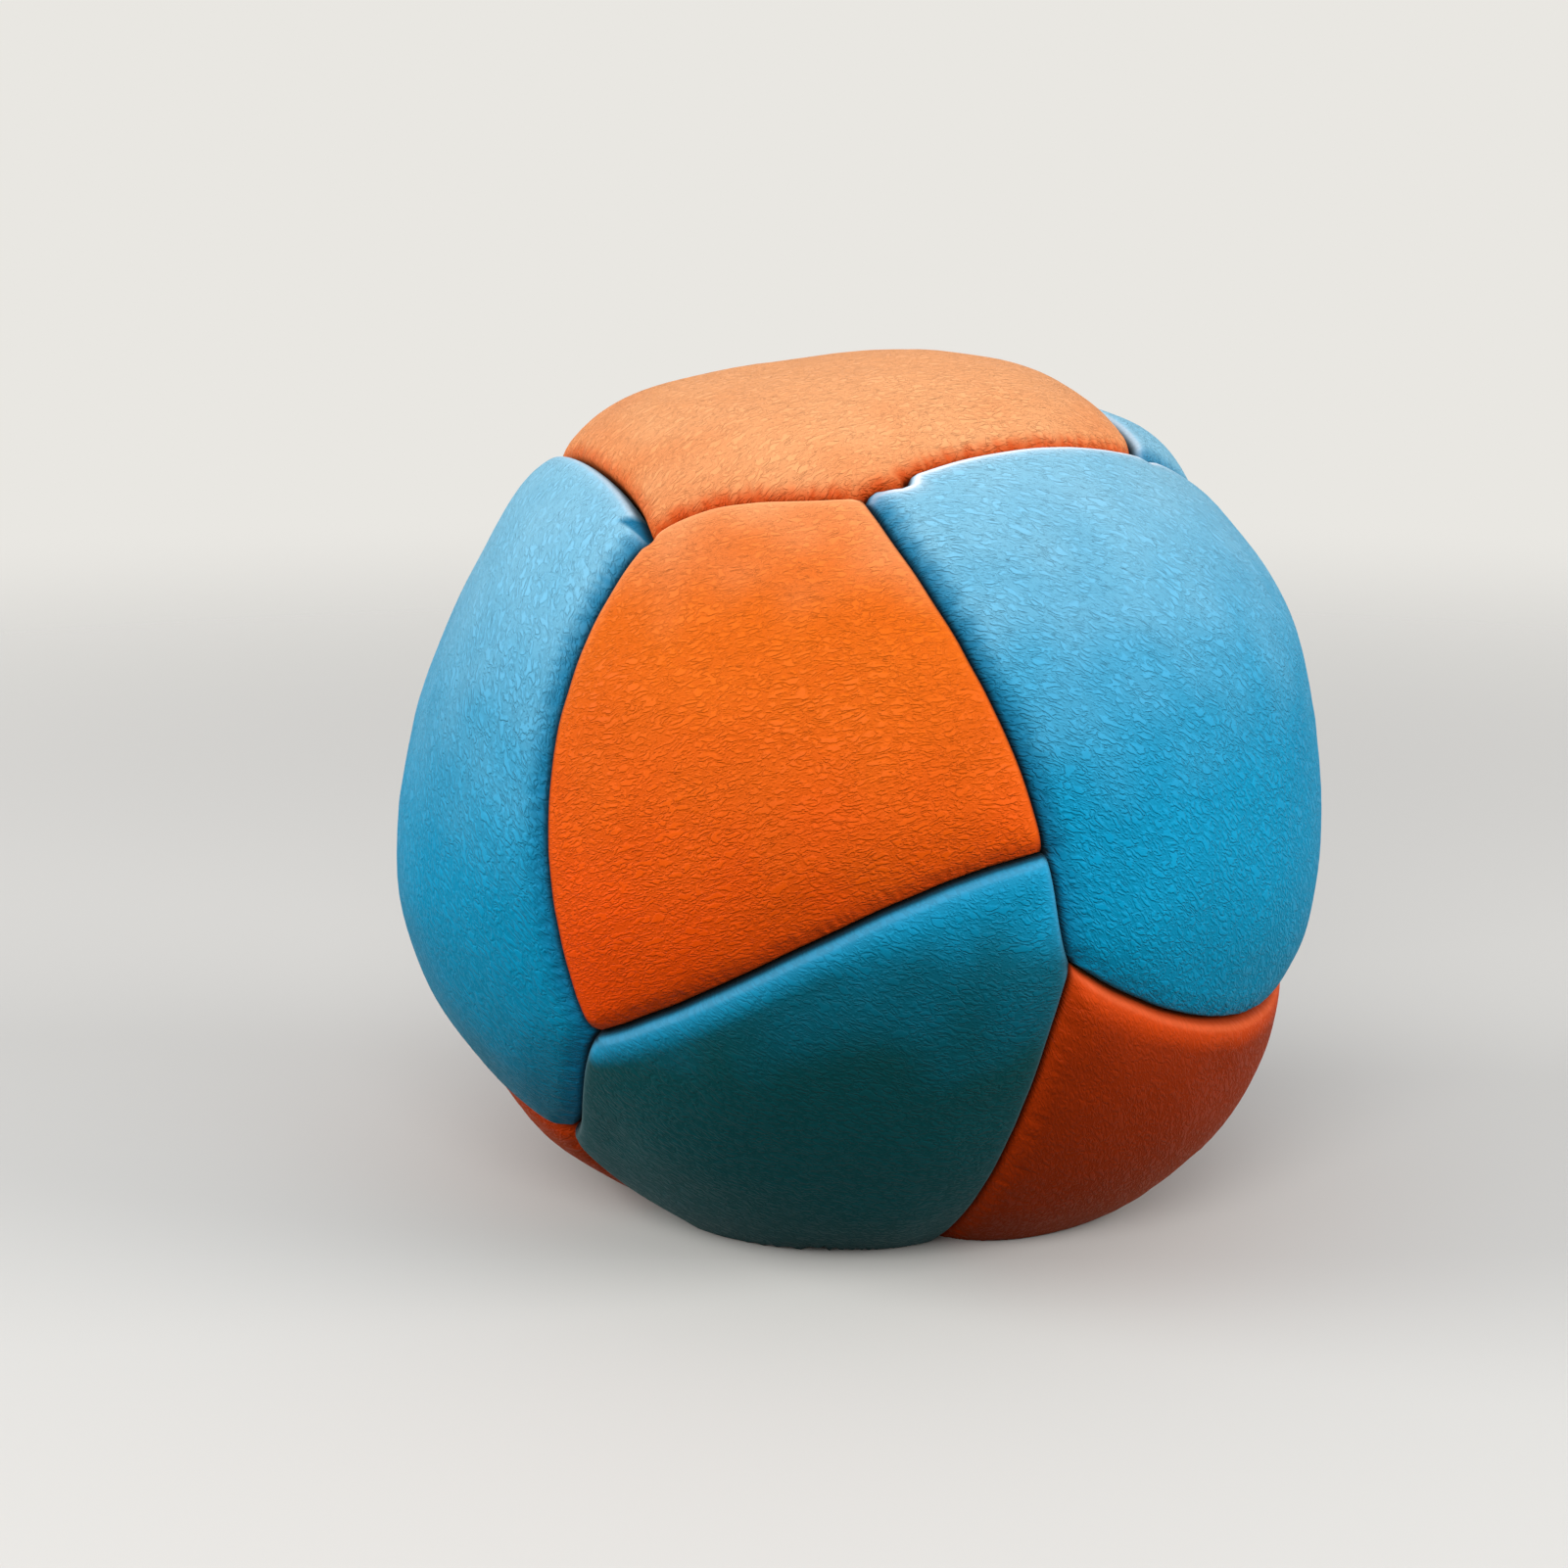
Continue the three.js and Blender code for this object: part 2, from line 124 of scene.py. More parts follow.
def body_radius(ways):
    """Millimetres from the bag's middle to the line of the seams."""
    height = np.where(ways[:, 2] > 0, body_height_above, body_height_below)
    radius = 1 / np.sqrt(
        (ways[:, 0] / body_half_width) ** 2
        + (ways[:, 1] / body_half_depth) ** 2
        + (ways[:, 2] / height) ** 2
    )
    for degrees, spread, rise in settled_places:
        radius = radius + rise * np.exp(-((apart(ways, direction(degrees)) / spread) ** 2))
    return radius


def rest_on_floor(ways, radius):
    """The floor flattens whatever would lie below it."""
    down = np.minimum(ways[:, 2], -1e-6)
    return np.where(ways[:, 2] < 0, np.minimum(radius, centre_height / -down), radius)


print("body radius at the front", round(float(body_radius(direction((0, 0))[None])[0]), 2), "mm")

# %% [markdown]
# ## Corners and seams
#
# Twelve corners and eighteen seams cut the ball into its eight panels. Where two panels meet,
# one stands proud with a tight fold and the other is tucked under it. Which one is proud was
# read off the photograph for the seams in sight, from which side of each seam lies in shade.
# One seam at the top was sewn with a little step beside its corner, as hand sewing has.

# %% Name the corners, seams and panels
corners = {
    "top_front_left": (-36.8, 41.7),
    "top_front_right": (0.5, 50.1),
    "top_back_right": (74.3, 50.8),
    "top_back_left": (-132.8, 38.4),
    "middle_left": (-36.6, -21.9),
    "middle_right": (22.6, 3.7),
    "low_left": (-56.9, -42.2),
    "low_right": (26.4, -10.2),
    "under": (-164.6, -80.1),
    "back_left": (-130, -5),
    "back_right": (133.4, -6.8),
    "back_low": (168, -28),
}

# The proud panel, the tucked one, the two corners, the bow and sway in degrees
seams = [
    ("front", "top", "top_front_left", "top_front_right", 1.6, -2),
    ("front", "left", "top_front_left", "middle_left", -3.8, 0.7),
    ("front", "right", "top_front_right", "middle_right", 0.5, 0.9),
    ("lower_front", "front", "middle_left", "middle_right", 3.1, 1.9),
    ("right", "top", "top_front_right", "top_back_right", -0.1, -1.5),
    ("left", "top", "top_front_left", "top_back_left", 3.1, 7.9),
    ("back", "top", "top_back_right", "top_back_left", -17, 0),
    ("right", "back", "top_back_right", "back_right", 3, 0),
    ("lower_front", "left", "middle_left", "low_left", 1, 1.5),
    ("lower_front", "right", "middle_right", "low_right", -0.2, -0.5),
    ("lower_right", "right", "low_right", "back_right", -7.7, 5.3),
    ("lower_front", "lower_right", "low_right", "under", -4.2, 1),
    ("lower_front", "lower_left", "low_left", "under", 2, 0),
    ("left", "lower_left", "low_left", "back_left", -5, 0),
    ("left", "back", "top_back_left", "back_left", 4, 0),
    ("lower_left", "back", "back_left", "back_low", -3, 0),
    ("lower_right", "back", "back_right", "back_low", 3, 0),
    ("lower_right", "lower_left", "under", "back_low", 0, 0),
]

# Each panel's leather and its corners, anticlockwise as seen from outside
panels = {
    "top": ("orange", ["top_front_left", "top_front_right", "top_back_right", "top_back_left"]),
    "front": ("orange", ["top_front_left", "middle_left", "middle_right", "top_front_right"]),
    "lower_right": ("orange", ["low_right", "under", "back_low", "back_right"]),
    "lower_left": ("orange", ["low_left", "back_left", "back_low", "under"]),
    "left": ("blue", ["top_front_left", "top_back_left", "back_left", "low_left", "middle_left"]),
    "right": (
        "blue",
        ["top_front_right", "middle_right", "low_right", "back_right", "top_back_right"],
    ),
    "lower_front": ("blue", ["middle_left", "low_left", "under", "low_right", "middle_right"]),
    "back": ("blue", ["top_back_right", "back_right", "back_low", "back_left", "top_back_left"]),
}

# A seam that was sewn with a step in it: how far along the seam and how far aside, in mm
stepped_seams = {("right", "top"): [(0.2, 0), (0.6, 0.28), (2.9, -0.9), (3.5, 0)]}
step_rounding = 0.2
# A hand-sewn line strays a little, in mm, and less and less in the last twelfth before a corner
stray, stray_length, stray_ends = 0.03, 2.4, 12
stray_seed = 5.1
length_points = 65


def unit(vectors):
    return vectors / np.linalg.norm(vectors, axis=-1, keepdims=True)


def smooth_step(low, high, value):
    part = np.clip((value - low) / (high - low), 0, 1)
    return part * part * (3 - 2 * part)


def between(start, end, share):
    """The great circle way from one direction to another."""
    angle = np.arccos(np.clip(np.sum(start * end, axis=-1, keepdims=True), -1, 1))
    angle = np.maximum(angle, 1e-9)
    return (np.sin((1 - share) * angle) * start + np.sin(share * angle) * end) / np.sin(angle)


def seam_ways(seam, shares):
    """Directions along a seam, from its first corner to its second."""
    start, end = direction(corners[seam[2]]), direction(corners[seam[3]])
    sideways = unit(np.cross(start, end))
    shares = np.asarray(shares, float)[:, None]
    bow = np.radians(seam[4] + seam[5] * (2 * shares - 1)) * 4 * shares * (1 - shares)
    along = shares * np.arccos(start @ end) * body_half_width
    if seam[:2] in stepped_seams:
        steps = np.array(stepped_seams[seam[:2]]).T
        aside = [np.interp(along + shift, *steps) for shift in (-step_rounding, 0, step_rounding)]
        bow = bow + np.mean(aside, axis=0) / body_half_width
    seed = seams.index(seam) * stray_seed
    astray = [2 * noise.noise(Vector((u / stray_length, seed, 0.5))) for u in along[:, 0]]
    ends = np.clip(np.minimum(shares, 1 - shares) * stray_ends, 0, 1)
    bow = bow + stray / body_half_width * np.array(astray)[:, None] * ends
    return between(start, end, shares) * np.cos(bow) + sideways * np.sin(bow)


def seam_length(seam):
    ways = seam_ways(seam, np.linspace(0, 1, length_points))
    points = ways * body_radius(ways)[:, None]
    return float(np.linalg.norm(np.diff(points, axis=0), axis=1).sum())


for seam in seams[:4]:
    print(seam[0], "over", seam[1], round(seam_length(seam), 1), "mm")

# %% [markdown]
# ## How far is a point from each seam?
#
# Everything that a seam does to the leather fades with the distance from it: the fold, the
# puckers, the dirt in the crease. One function answers that distance for many directions at
# once, for every seam round a panel, and how far along the seam the nearest point lies.

# %% Measure distances to a panel's seams
seam_step, fewest_steps = 0.5, 8
# How sharply the nearest of several seams wins over the others
nearest_wins = 4.0


def panel_sides(name):
    """The seams round a panel in order, each with whether it runs backwards."""
    names = panels[name][1]
    sides = []
    for here, onward in zip(names, names[1:] + names[:1]):
        number = next(n for n, seam in enumerate(seams) if {here, onward} == set(seam[2:4]))
        sides.append((number, seams[number][2] != here))
    return sides


def per_side(name, table, otherwise):
    """A seam table's number for each side of a panel."""
    return np.array([table.get(seams[number][:2], otherwise) for number, _ in panel_sides(name)])


def side_ways(number, backwards, count):
    shares = np.linspace(0, 1, count + 1)
    ways = seam_ways(seams[number], shares)
    return ways[::-1] if backwards else ways


def seam_distances(ways, name):
    """Millimetres from each direction to each side of a panel, and along that side's seam."""
    gaps, places = [], []
    for number, _ in panel_sides(name):
        length = seam_length(seams[number])
        line = side_ways(number, False, max(fewest_steps, round(length / seam_step)))
        start, step = line[:-1], np.diff(line, axis=0)
        long = np.sum(step * step, axis=1)
        reach = ways @ step.T - np.sum(start * step, axis=1)
        part = np.clip(reach / long, 0, 1)
        apart_squared = 1 - 2 * ways @ start.T + np.sum(start * start, axis=1)
        apart_squared = apart_squared - 2 * part * reach + part**2 * long
        nearest = np.argmin(apart_squared, axis=1)
        rows = np.arange(len(ways))
        gaps.append(np.sqrt(np.maximum(apart_squared[rows, nearest], 0)))
        places.append((nearest + part[rows, nearest]) / len(step) * length)
    return np.array(gaps).T * body_radius(ways)[:, None], np.array(places).T


def softest(gaps):
    """The distance to the nearest seam, eased so that it has no ridge between two seams."""
    return np.sum(np.maximum(gaps, 1e-4) ** -nearest_wins, axis=1) ** (-1 / nearest_wins)


middle_gaps, _ = seam_distances(direction((-15, 20))[None], "front")
print("the front panel's middle is", round(float(middle_gaps.min()), 1), "mm from a seam")

# %% [markdown]
# ## The pillow of each panel
#
# Leather that is sewn and stuffed bulges between its seams and turns down into them in a tight
# fold, narrower than the leather is thick. The proud side stays high up to that fold. The tucked
# side slopes down to its neighbour's edge in a gutter a little over a millimetre wide, which has
# a clear shoulder. Three panels meet at a corner, and the stitches pull a small pit there.

# %% Shape the swell and the rolled edges
leather_thickness = 1.1
panel_swell, swell_reach = 1.0, 12
roll_share, roll_reach = 0.45, 0.9
seam_depth, allowance_depth = 1.4, 4
fold_depth, deepest_overlap = 0.85, 1.1
fold_width = {"proud": 0.58, "tucked": 0.35}
seam_opening = 0.14
gutter_depth, gutter_width, shoulder_rounding = 0.5, 1.2, 0.4
proud_lift, proud_reach = 0.15, 2.5
pit_depth, pit_reach = 0.5, 0.75
# The seams that are pulled tight, and the share of the gutter that is left
tight_seams = {
    ("lower_front", "right"): 0.5,
    ("lower_front", "lower_right"): 0.6,
    ("left", "top"): 0.6,
    ("lower_right", "right"): 0.35,
}


def swell(gaps):
    inward = softest(gaps)
    dome = 1 - (1 - np.minimum(inward / swell_reach, 1)) ** 2
    roll = 1 - np.exp(-inward / roll_reach)
    return panel_swell * ((1 - roll_share) * dome + roll_share * roll)


def side_kinds(name):
    """Whether a panel stands proud at each of its sides."""
    return np.array([seams[number][0] == name for number, _ in panel_sides(name)])


def fold_drop(gaps, name):
    """How far the leather has turned down in the folds at its seams."""
    widths = np.where(side_kinds(name), fold_width["proud"], fold_width["tucked"])
    inside = np.clip(1 - (gaps - seam_opening / 2) / widths, 0, 1)
    drops = fold_depth * (1 - np.sqrt(1 - inside**2))
    deepest = np.sum(drops**nearest_wins, axis=1) ** (1 / nearest_wins)
    return np.minimum(deepest, fold_depth * deepest_overlap)


def edge_rise(gaps, name):
    """A proud edge stands up a little over its neighbour, and a tucked one slopes down."""
    proud = side_kinds(name)
    up = np.exp(-((gaps / proud_reach) ** 2)) * proud
    inside = gutter_width - gaps
    down = (inside + np.sqrt(inside**2 + shoulder_rounding**2)) / 2 / gutter_width * ~proud
    down = down * per_side(name, tight_seams, 1)
    deepest = np.sum(down**nearest_wins, axis=1) ** (1 / nearest_wins)
    return proud_lift * up.max(axis=1) - gutter_depth * deepest


def corner_gaps(ways, name):
    """Millimetres to the nearest corner of a panel."""
    gaps = [np.linalg.norm(ways - direction(corners[c]), axis=1) for c in panels[name][1]]
    return np.min(gaps, axis=0) * body_half_width


print("a proud edge folds over", fold_width["proud"], "mm, a tucked one", fold_width["tucked"])

# %% [markdown]
# ## Blowing the cover up
#
# A real panel is pressed outwards by the pellets and held only by its seams, and thin leather
# does not stretch evenly. Cloth simulation gives that without guesswork. The whole cover is one
# ball of squares a little over a millimetre wide, held still along the seams, starting slightly
# small, with pressure inside. It is simulated ten times larger than life, where the solver's
# usual settings work well. Only how far each point moved is kept, never more than the cap.

# %% Simulate the cover under pressure
ball_steps = 40
start_smaller = 0.35
cloth_scale, cloth_frames, cloth_cap = 10, 20, 0.7
cloth_quality, cloth_mass = 6, 0.3
cloth_stiffness = {"tension": 15, "compression": 15, "shear": 7.5, "bending": 1, "pin": 1}
cloth_shrink, cloth_pressure = -0.012, 8
held_width = 1.6
seam_marks = 129


def ball_of_squares(steps):
    """Directions and four-sided faces of a cube blown up to a ball, without doubled points."""
    line = np.tan(np.linspace(-1, 1, steps + 1) * math.pi / 4)
    places, faces = {}, []
    for axis in range(3):
        for sign in (-1, 1):
            grid = np.empty((steps + 1, steps + 1), int)
            for row, a in enumerate(line):
                for column, b in enumerate(line):
                    point = np.zeros(3)
                    point[axis], point[axis - 2], point[axis - 1] = sign, a, b
                    key = tuple(np.round(point, 6))
                    grid[row, column] = places.setdefault(key, len(places))
            for row in range(steps):
                for column in range(steps):
                    square = [
                        grid[row, column],
                        grid[row + 1, column],
                        grid[row + 1, column + 1],
                        grid[row, column + 1],
                    ]
                    faces.append(square if sign > 0 else square[::-1])
    return unit(np.array(list(places))), [[int(i) for i in face] for face in faces]


def nearest_seam(ways):
    """Millimetres to the nearest seam of the whole ball."""
    lines = [seam_ways(seam, np.linspace(0, 1, seam_marks)) for seam in seams]
    points = np.concatenate(lines)
    tree = kdtree.KDTree(len(points))
    for number, point in enumerate(points):
        tree.insert(point, number)
    tree.balance()
    return np.array([tree.find(way)[2] for way in ways]) * body_radius(ways)


def simulated_push(ways, faces):
    """Millimetres that the pressure pushes each direction of the cover out or lets it in."""
    from_seam = nearest_seam(ways)
    reached = np.minimum(from_seam / swell_reach, 1)
    radius = body_radius(ways) + (panel_swell - start_smaller) * (1 - (1 - reached) ** 2)
    start = ways * radius[:, None] * millimetre * cloth_scale
    mesh = bpy.data.meshes.new("pressed_cover")
    mesh.from_pydata(start.tolist(), [], faces)
    cover = bpy.data.objects.new("pressed_cover", mesh)
    bpy.context.scene.collection.objects.link(cover)
    held = cover.vertex_groups.new(name="held")
    for number, gap in enumerate(from_seam):
        held.add([number], float(np.clip(2 - gap / held_width, 0, 1)), "REPLACE")
    cloth = cover.modifiers.new("cloth", "CLOTH")
    settings = cloth.settings
    settings.quality = cloth_quality
    settings.mass = cloth_mass
    for kind, stiffness in cloth_stiffness.items():
        setattr(settings, f"{kind}_stiffness", stiffness)
    settings.vertex_group_mass = held.name
    settings.shrink_min = cloth_shrink
    settings.use_pressure = True
    settings.uniform_pressure_force = cloth_pressure
    settings.effector_weights.gravity = 0
    cloth.collision_settings.use_collision = False
    cloth.point_cache.frame_start, cloth.point_cache.frame_end = 1, cloth_frames
    for number in range(1, cloth_frames + 1):
        bpy.context.scene.frame_set(number)
    shown = cover.evaluated_get(bpy.context.evaluated_depsgraph_get()).data
    moved = np.empty(len(ways) * 3, np.float32)
    shown.vertices.foreach_get("co", moved)
    bpy.context.scene.frame_set(1)
    bpy.data.objects.remove(cover)
    bpy.data.meshes.remove(mesh)
    pushed = np.sum(moved.reshape(-1, 3) * ways, axis=1) / millimetre / cloth_scale - radius
    return np.clip(pushed, -cloth_cap, cloth_cap)


ball_ways, ball_faces = ball_of_squares(ball_steps)
ball_push = simulated_push(ball_ways, ball_faces)
print(len(ball_faces), "squares, pushed", round(float(ball_push.min()), 2), "to",
      round(float(ball_push.max()), 2), "mm, mean", round(float(ball_push.mean()), 2))

# %% [markdown]
# ## Any point of the cover
#
# The simulated ball is coarser than the leather that it shapes, so each fine point takes a
# weighted mean of the ball's points round it. Two more things press on the leather from inside
# and are too fine for that ball: the heap of pellets, as low lumps, and the crumple next to a
# corner. All of them fade out at the seams, which hold the leather down.

# %% Add pellets and dents under the leather
push_spread = 1.5
push_neighbours = 12
lump_sizes = [(11, 0.2), (5, 0.07)]
lump_fade = 4
# A crumple beside a seam: the panel, the seam's two panels, from where to where along the seam,
# how far it reaches in there, and its depth, all in mm
crumples = [
    ("left", ("left", "top"), (0.2, 2.5), (0.3, 1.15), 0.6),
    ("right", ("right", "back"), (2.0, 3.4), (0.1, 0.35), 0.3),
]
# How it starts and ends along the seam, in mm, and how it fades across, as shares of its reach
crumple_start, crumple_end = (-0.2, 0.3), 0.15
crumple_rim, crumple_hollow = (1.25, 0.75), 1.2

ball_tree = kdtree.KDTree(len(ball_ways))
for number, way in enumerate(ball_ways):
    ball_tree.insert(way, number)
ball_tree.balance()


def push_at(way):
    found = ball_tree.find_n(way, push_neighbours)
    weights = [math.exp(-((gap * body_half_width / push_spread) ** 2)) for _, _, gap in found]
    return sum(w * ball_push[n] for w, (_, n, _) in zip(weights, found)) / sum(weights)


def lumps_at(way):
    """Height of the pellets under the leather, in mm."""
    point = Vector(way) * body_half_width
    return sum(rise * 2 * noise.noise(point / size) for size, rise in lump_sizes)


def crumple_at(gaps, places, name):
    """1 in the middle of a crumple and 0 outside, and the millimetres that it sinks in."""
    share, sunk = np.zeros(len(gaps)), np.zeros(len(gaps))
    for crumpled, seam_panels, (first, last), reaches, depth in crumples:
        if crumpled == name:
            numbers = [number for number, _ in panel_sides(name)]
            side = next(n for n, number in enumerate(numbers) if seams[number][:2] == seam_panels)
            gap, along = gaps[:, side], places[:, side]
            reach = np.interp(along, (first, last), reaches)
            window = smooth_step(first + crumple_start[0], first + crumple_start[1], along)
            window = window * smooth_step(last + crumple_end, last, along)
            here = window * smooth_step(crumple_rim[0] * reach, crumple_rim[1] * reach, gap)
            hollow = np.clip(1 - (gap / reach / crumple_hollow) ** 2, 0, 1)
            share = np.maximum(share, here)
            sunk = np.maximum(sunk, depth * window * hollow)
    return share, sunk


def pushed_out(ways, gaps):
    free = smooth_step(0, lump_fade, softest(gaps))
    rise = np.array([push_at(way) for way in ways])
    return rise + free * np.array([lumps_at(way) for way in ways])


print("lumps of", [size for size, _ in lump_sizes], "mm under the leather")

# %% [markdown]
# ## Puckers beside the seams
#
# A curved edge is eased on to a shorter line of stitches, so the tucked leather gathers into
# small creases square to the seam. In the photograph they are 0.5 to 0.7 mm apart and lie across
# the shoulder of the gutter. They are real dents in the mesh here. Their spacing and strength
# wander along the seam.

# %% Crease the tucked edges
pucker_pitch, pucker_length = 0.62, 2.2
pucker_depth = {"proud": 0.01, "tucked": 0.11}
pucker_line, pucker_spread = 0.95, 0.55
# Further from a seam than this no crease is worked out
pucker_end = 5 * pucker_line
pucker_wander, wander_length = 0.3, 1.7
crease_seed, line_seed = 7.3, 20
crease_level, crease_contrast = 0.45, 1.3
# The noise has one crease in about so many of its units
noise_units = 1.7


def wander(along, size, number):
    """A slow random value between -1 and 1 along a seam."""
    return np.array([2 * noise.noise(Vector((u / size, number * crease_seed, 0.5))) for u in along])


def crease_lines(along, gap, number):
    """1 in a crease and 0 between two."""
    pitch, length = pucker_pitch / noise_units, pucker_length / noise_units
    seed = number * crease_seed
    lines = [noise.noise(Vector((u / pitch, g / length, seed))) for u, g in zip(along, gap)]
    return np.clip(crease_level + crease_contrast * np.array(lines), 0, 1)


def pucker(gaps, places, name):
    """How far the creases sink into the leather, in mm."""
    sunk = np.zeros(len(gaps))
    for side, (number, _) in enumerate(panel_sides(name)):
        near = gaps[:, side] < pucker_end
        gap, along = gaps[near, side], places[near, side]
        kind = "proud" if seams[number][0] == name else "tucked"
        drift = pucker_wander * wander(along, wander_length, number + line_seed)
        middle = pucker_line * (1 + drift)
        fade = np.exp(-(((gap - middle) / pucker_spread) ** 2))
        sunk[near] += pucker_depth[kind] * crease_lines(along, gap, number) * fade
    return sunk


print("creases", pucker_pitch, "mm apart on the tucked edges")

# %% [markdown]
# ## Cutting out a panel
#
# A panel is a closed piece: the outside, the fold down into the seam, the allowance inside, and
# the lining back to the middle. It is built of rings of points that all follow the panel's
# outline. Points lie 0.15 mm apart at the seams, where the creases are, and every other one is
# dropped as the rings shrink, so that the mesh stays even.

# %% Lay out the rings of points
fine_spacing = 0.15
ring_count = 36
ring_crowding = 3.4
halving_shares = [0.13, 0.3, 0.6, 0.85]
# Each side has a number of points that can be halved that often
halvings = 2 ** len(halving_shares)
lining_shares = [0.15, 0.35, 0.6, 0.85]
lining_level = 3
deepest_fold = 1.8
flank_drops = [(2.1, 1), (3.3, 2)]


def outline(name):
    """Closely spaced directions round a panel, anticlockwise."""
    ways = []
    for number, backwards in panel_sides(name):
        count = halvings * round(seam_length(seams[number]) / fine_spacing / halvings)
        ways.append(side_ways(number, backwards, count)[:-1])
    return np.concatenate(ways)


def ring_layout():
    """Each outer ring's share of the way in, and how often its points were halved."""
    steps = np.arange(ring_count) / ring_count
    shares = np.expm1(ring_crowding * steps) / np.expm1(ring_crowding)
    return [(share, sum(share > limit for limit in halving_shares)) for share in shares]


def band(ring, onward):
    """Faces between two rings, of which one may have twice the other's points."""
    if len(ring) < len(onward):
        return [face[::-1] for face in band(onward, ring)]
    after = np.roll(onward, -1)
    if len(ring) == len(onward):
        return np.stack([ring, np.roll(ring, -1), after, onward], axis=1).tolist()
    even, odd, end = ring[::2], ring[1::2], np.roll(ring[::2], -1)
    corners_of_fans = [(even, odd, onward), (odd, after, onward), (odd, end, after)]
    return [face for fan in corners_of_fans for face in np.stack(fan, axis=1).tolist()]


def joined(rings):
    """Faces over all rings, closed by a middle point at each end."""
    starts = np.cumsum([1, *[len(ring) for ring in rings]])
    numbered = [np.arange(start, start + len(ring)) for start, ring in zip(starts, rings)]
    first, end = numbered[0], numbered[-1]
    faces = [[0, int(a), int(b)] for a, b in zip(first, np.roll(first, -1))]
    for ring, onward in zip(numbered, numbered[1:]):
        faces += band(onward, ring)
    last = int(starts[-1])
    return faces + [[last, int(b), int(a)] for a, b in zip(end, np.roll(end, -1))]


print(len(ring_layout()), "rings outside, the first at", round(ring_layout()[1][0], 4))

# %% [markdown]
# ## Painted light and shade, written on the points
#
# Beside its shape each panel carries a few numbers on its points, which the leather's material
# reads. Most of them paint light and shade into the colour. The top is painted paler, standing in
# for the sky shining on it, and the underside is painted darker as shade, with a richer painted
# shade tint growing downwards. Proud edges that face the light get a painted highlight. Where an
# edge is tucked under its neighbour it gets a painted shade band, and the fold itself is painted
# nearly black as shade. The grain is weaker where a proud edge is stretched over its fold. An image
# could hold all that too, but numbers on the points follow every seam by themselves.

# %% Work out the painted light and shade
# Heights on the ball, from -1 to 1, where the painted shade below is full, where it starts, and
# where the painted sky shine on top starts. The left panel gets its painted shine further down
painted_light_heights = {"orange": (-0.75, 0.1, 0.47), "blue": (-0.95, 0.0, 0.12)}
panel_shine_starts, shine_full_at = {"left": -0.13}, 0.95
most_painted_shine, most_low_shade, shade_hides_shine = 0.6, 0.8, 0.7
height_drift, drift_scale = 0.08, 9
# More or less painted shade low on some panels, and the share of it that is left on a lit rim
panel_low_shade, low_heights = {"lower_front": 0.7, "front": -0.55, "lower_right": 0.5}, (0.05, -0.2)
lit_rim, rim_low_shade, usual_rim_low_shade = (0.5, 2.3), {"lower_right": 0.4, "lower_front": 0.15}, 0.25
# The painted shade band on a tucked edge, in mm, with its edge broken up by the creases
tuck_shade_reach, crease_shift, crease_middle = 1.8, 0.3, 0.4
# The top panel is pulled flatter, so its painted shade bands are narrower
band_widening = {"top": 0.75}
# How wide the painted black shade in a fold is on a tucked, a lit proud and a shaded proud edge
tucked_fold, lit_fold, shaded_fold = 0.36, 0.4, 0.55
fold_shade_scales, fold_core = {("lower_front", "front"): 0.7, ("front", "left"): 1.6}, 0.25
# Where the painted shade in a corner pit is full and where it has faded out, in mm
corner_shade = (0.2, 0.6)
# Where the painted highlight line on a proud edge lies, and how wide it and the halo round it are
highlight_line, highlight_lines, highlight_width = 0.4, {"right": 0.65}, 0.18
halo_strength, halo_width = 0.3, 4
highlight_strength = {"lower_front": 0.06, "left": 0.45, "lower_right": 0.12, "back": 0.45}
# The direction of the painted light, and how squarely an edge must face it to count as lit
painted_light_from, lit_facing, facing_step = np.array([-0.35, -0.25, 0.9]), (0.5, 0.95), 0.01
# The proud edges that get the painted highlight and lit rim though they face away from the light
lit_seams = {
    ("lower_right", "right"): 1,
    ("lower_front", "front"): 1,
    ("lower_front", "left"): 0.7,
    ("lower_front", "right"): 0.6,
    ("lower_front", "lower_right"): 0.6,
}
# How strong the grain is on a panel and how much softer low down, the heights between which the
# colour gets a painted shade tint downwards, and how wide a proud edge is drawn smooth
grain_strength, soft_below, soft_heights = {"top": 1.1}, 0.4, (0.2, -0.4)
shade_tint_heights, stretched_smooth, least_grain = (0.6, -0.35), (0.3, 1.3), 0.25
far_away = 99


def edge_light_facing(ways, places, name):
    """How squarely each edge of a panel, were it rolled by 45 degrees, faces the painted light."""
    middle = unit(sum(direction(corners[corner]) for corner in panels[name][1]))
    facing = []
    for side, (number, _) in enumerate(panel_sides(name)):
        seam = seams[number]
        share = places[:, side] / seam_length(seam)
        along = unit(seam_ways(seam, share + facing_step) - seam_ways(seam, share - facing_step))
        outward = np.cross(along, ways)
        outward = outward * np.sign(np.mean(outward @ (seam_ways(seam, [0.5])[0] - middle)))
        facing.append(unit(ways + outward) @ unit(painted_light_from))
    return np.array(facing).T


def tuck_shade_share(gaps, places, name):
    """How far each point lies in the painted shade band of a tucked edge."""
    numbers = [number for number, _ in panel_sides(name)]
    creases = [crease_lines(places[:, n], gaps[:, n], number) for n, number in enumerate(numbers)]
    off = gaps - crease_shift * (np.stack(creases, axis=1) - crease_middle)
    tuck_shade = 1 - smooth_step(0, tuck_shade_reach * band_widening.get(name, 1), off)
    return (tuck_shade * ~side_kinds(name) * per_side(name, tight_seams, 1)).max(axis=1)


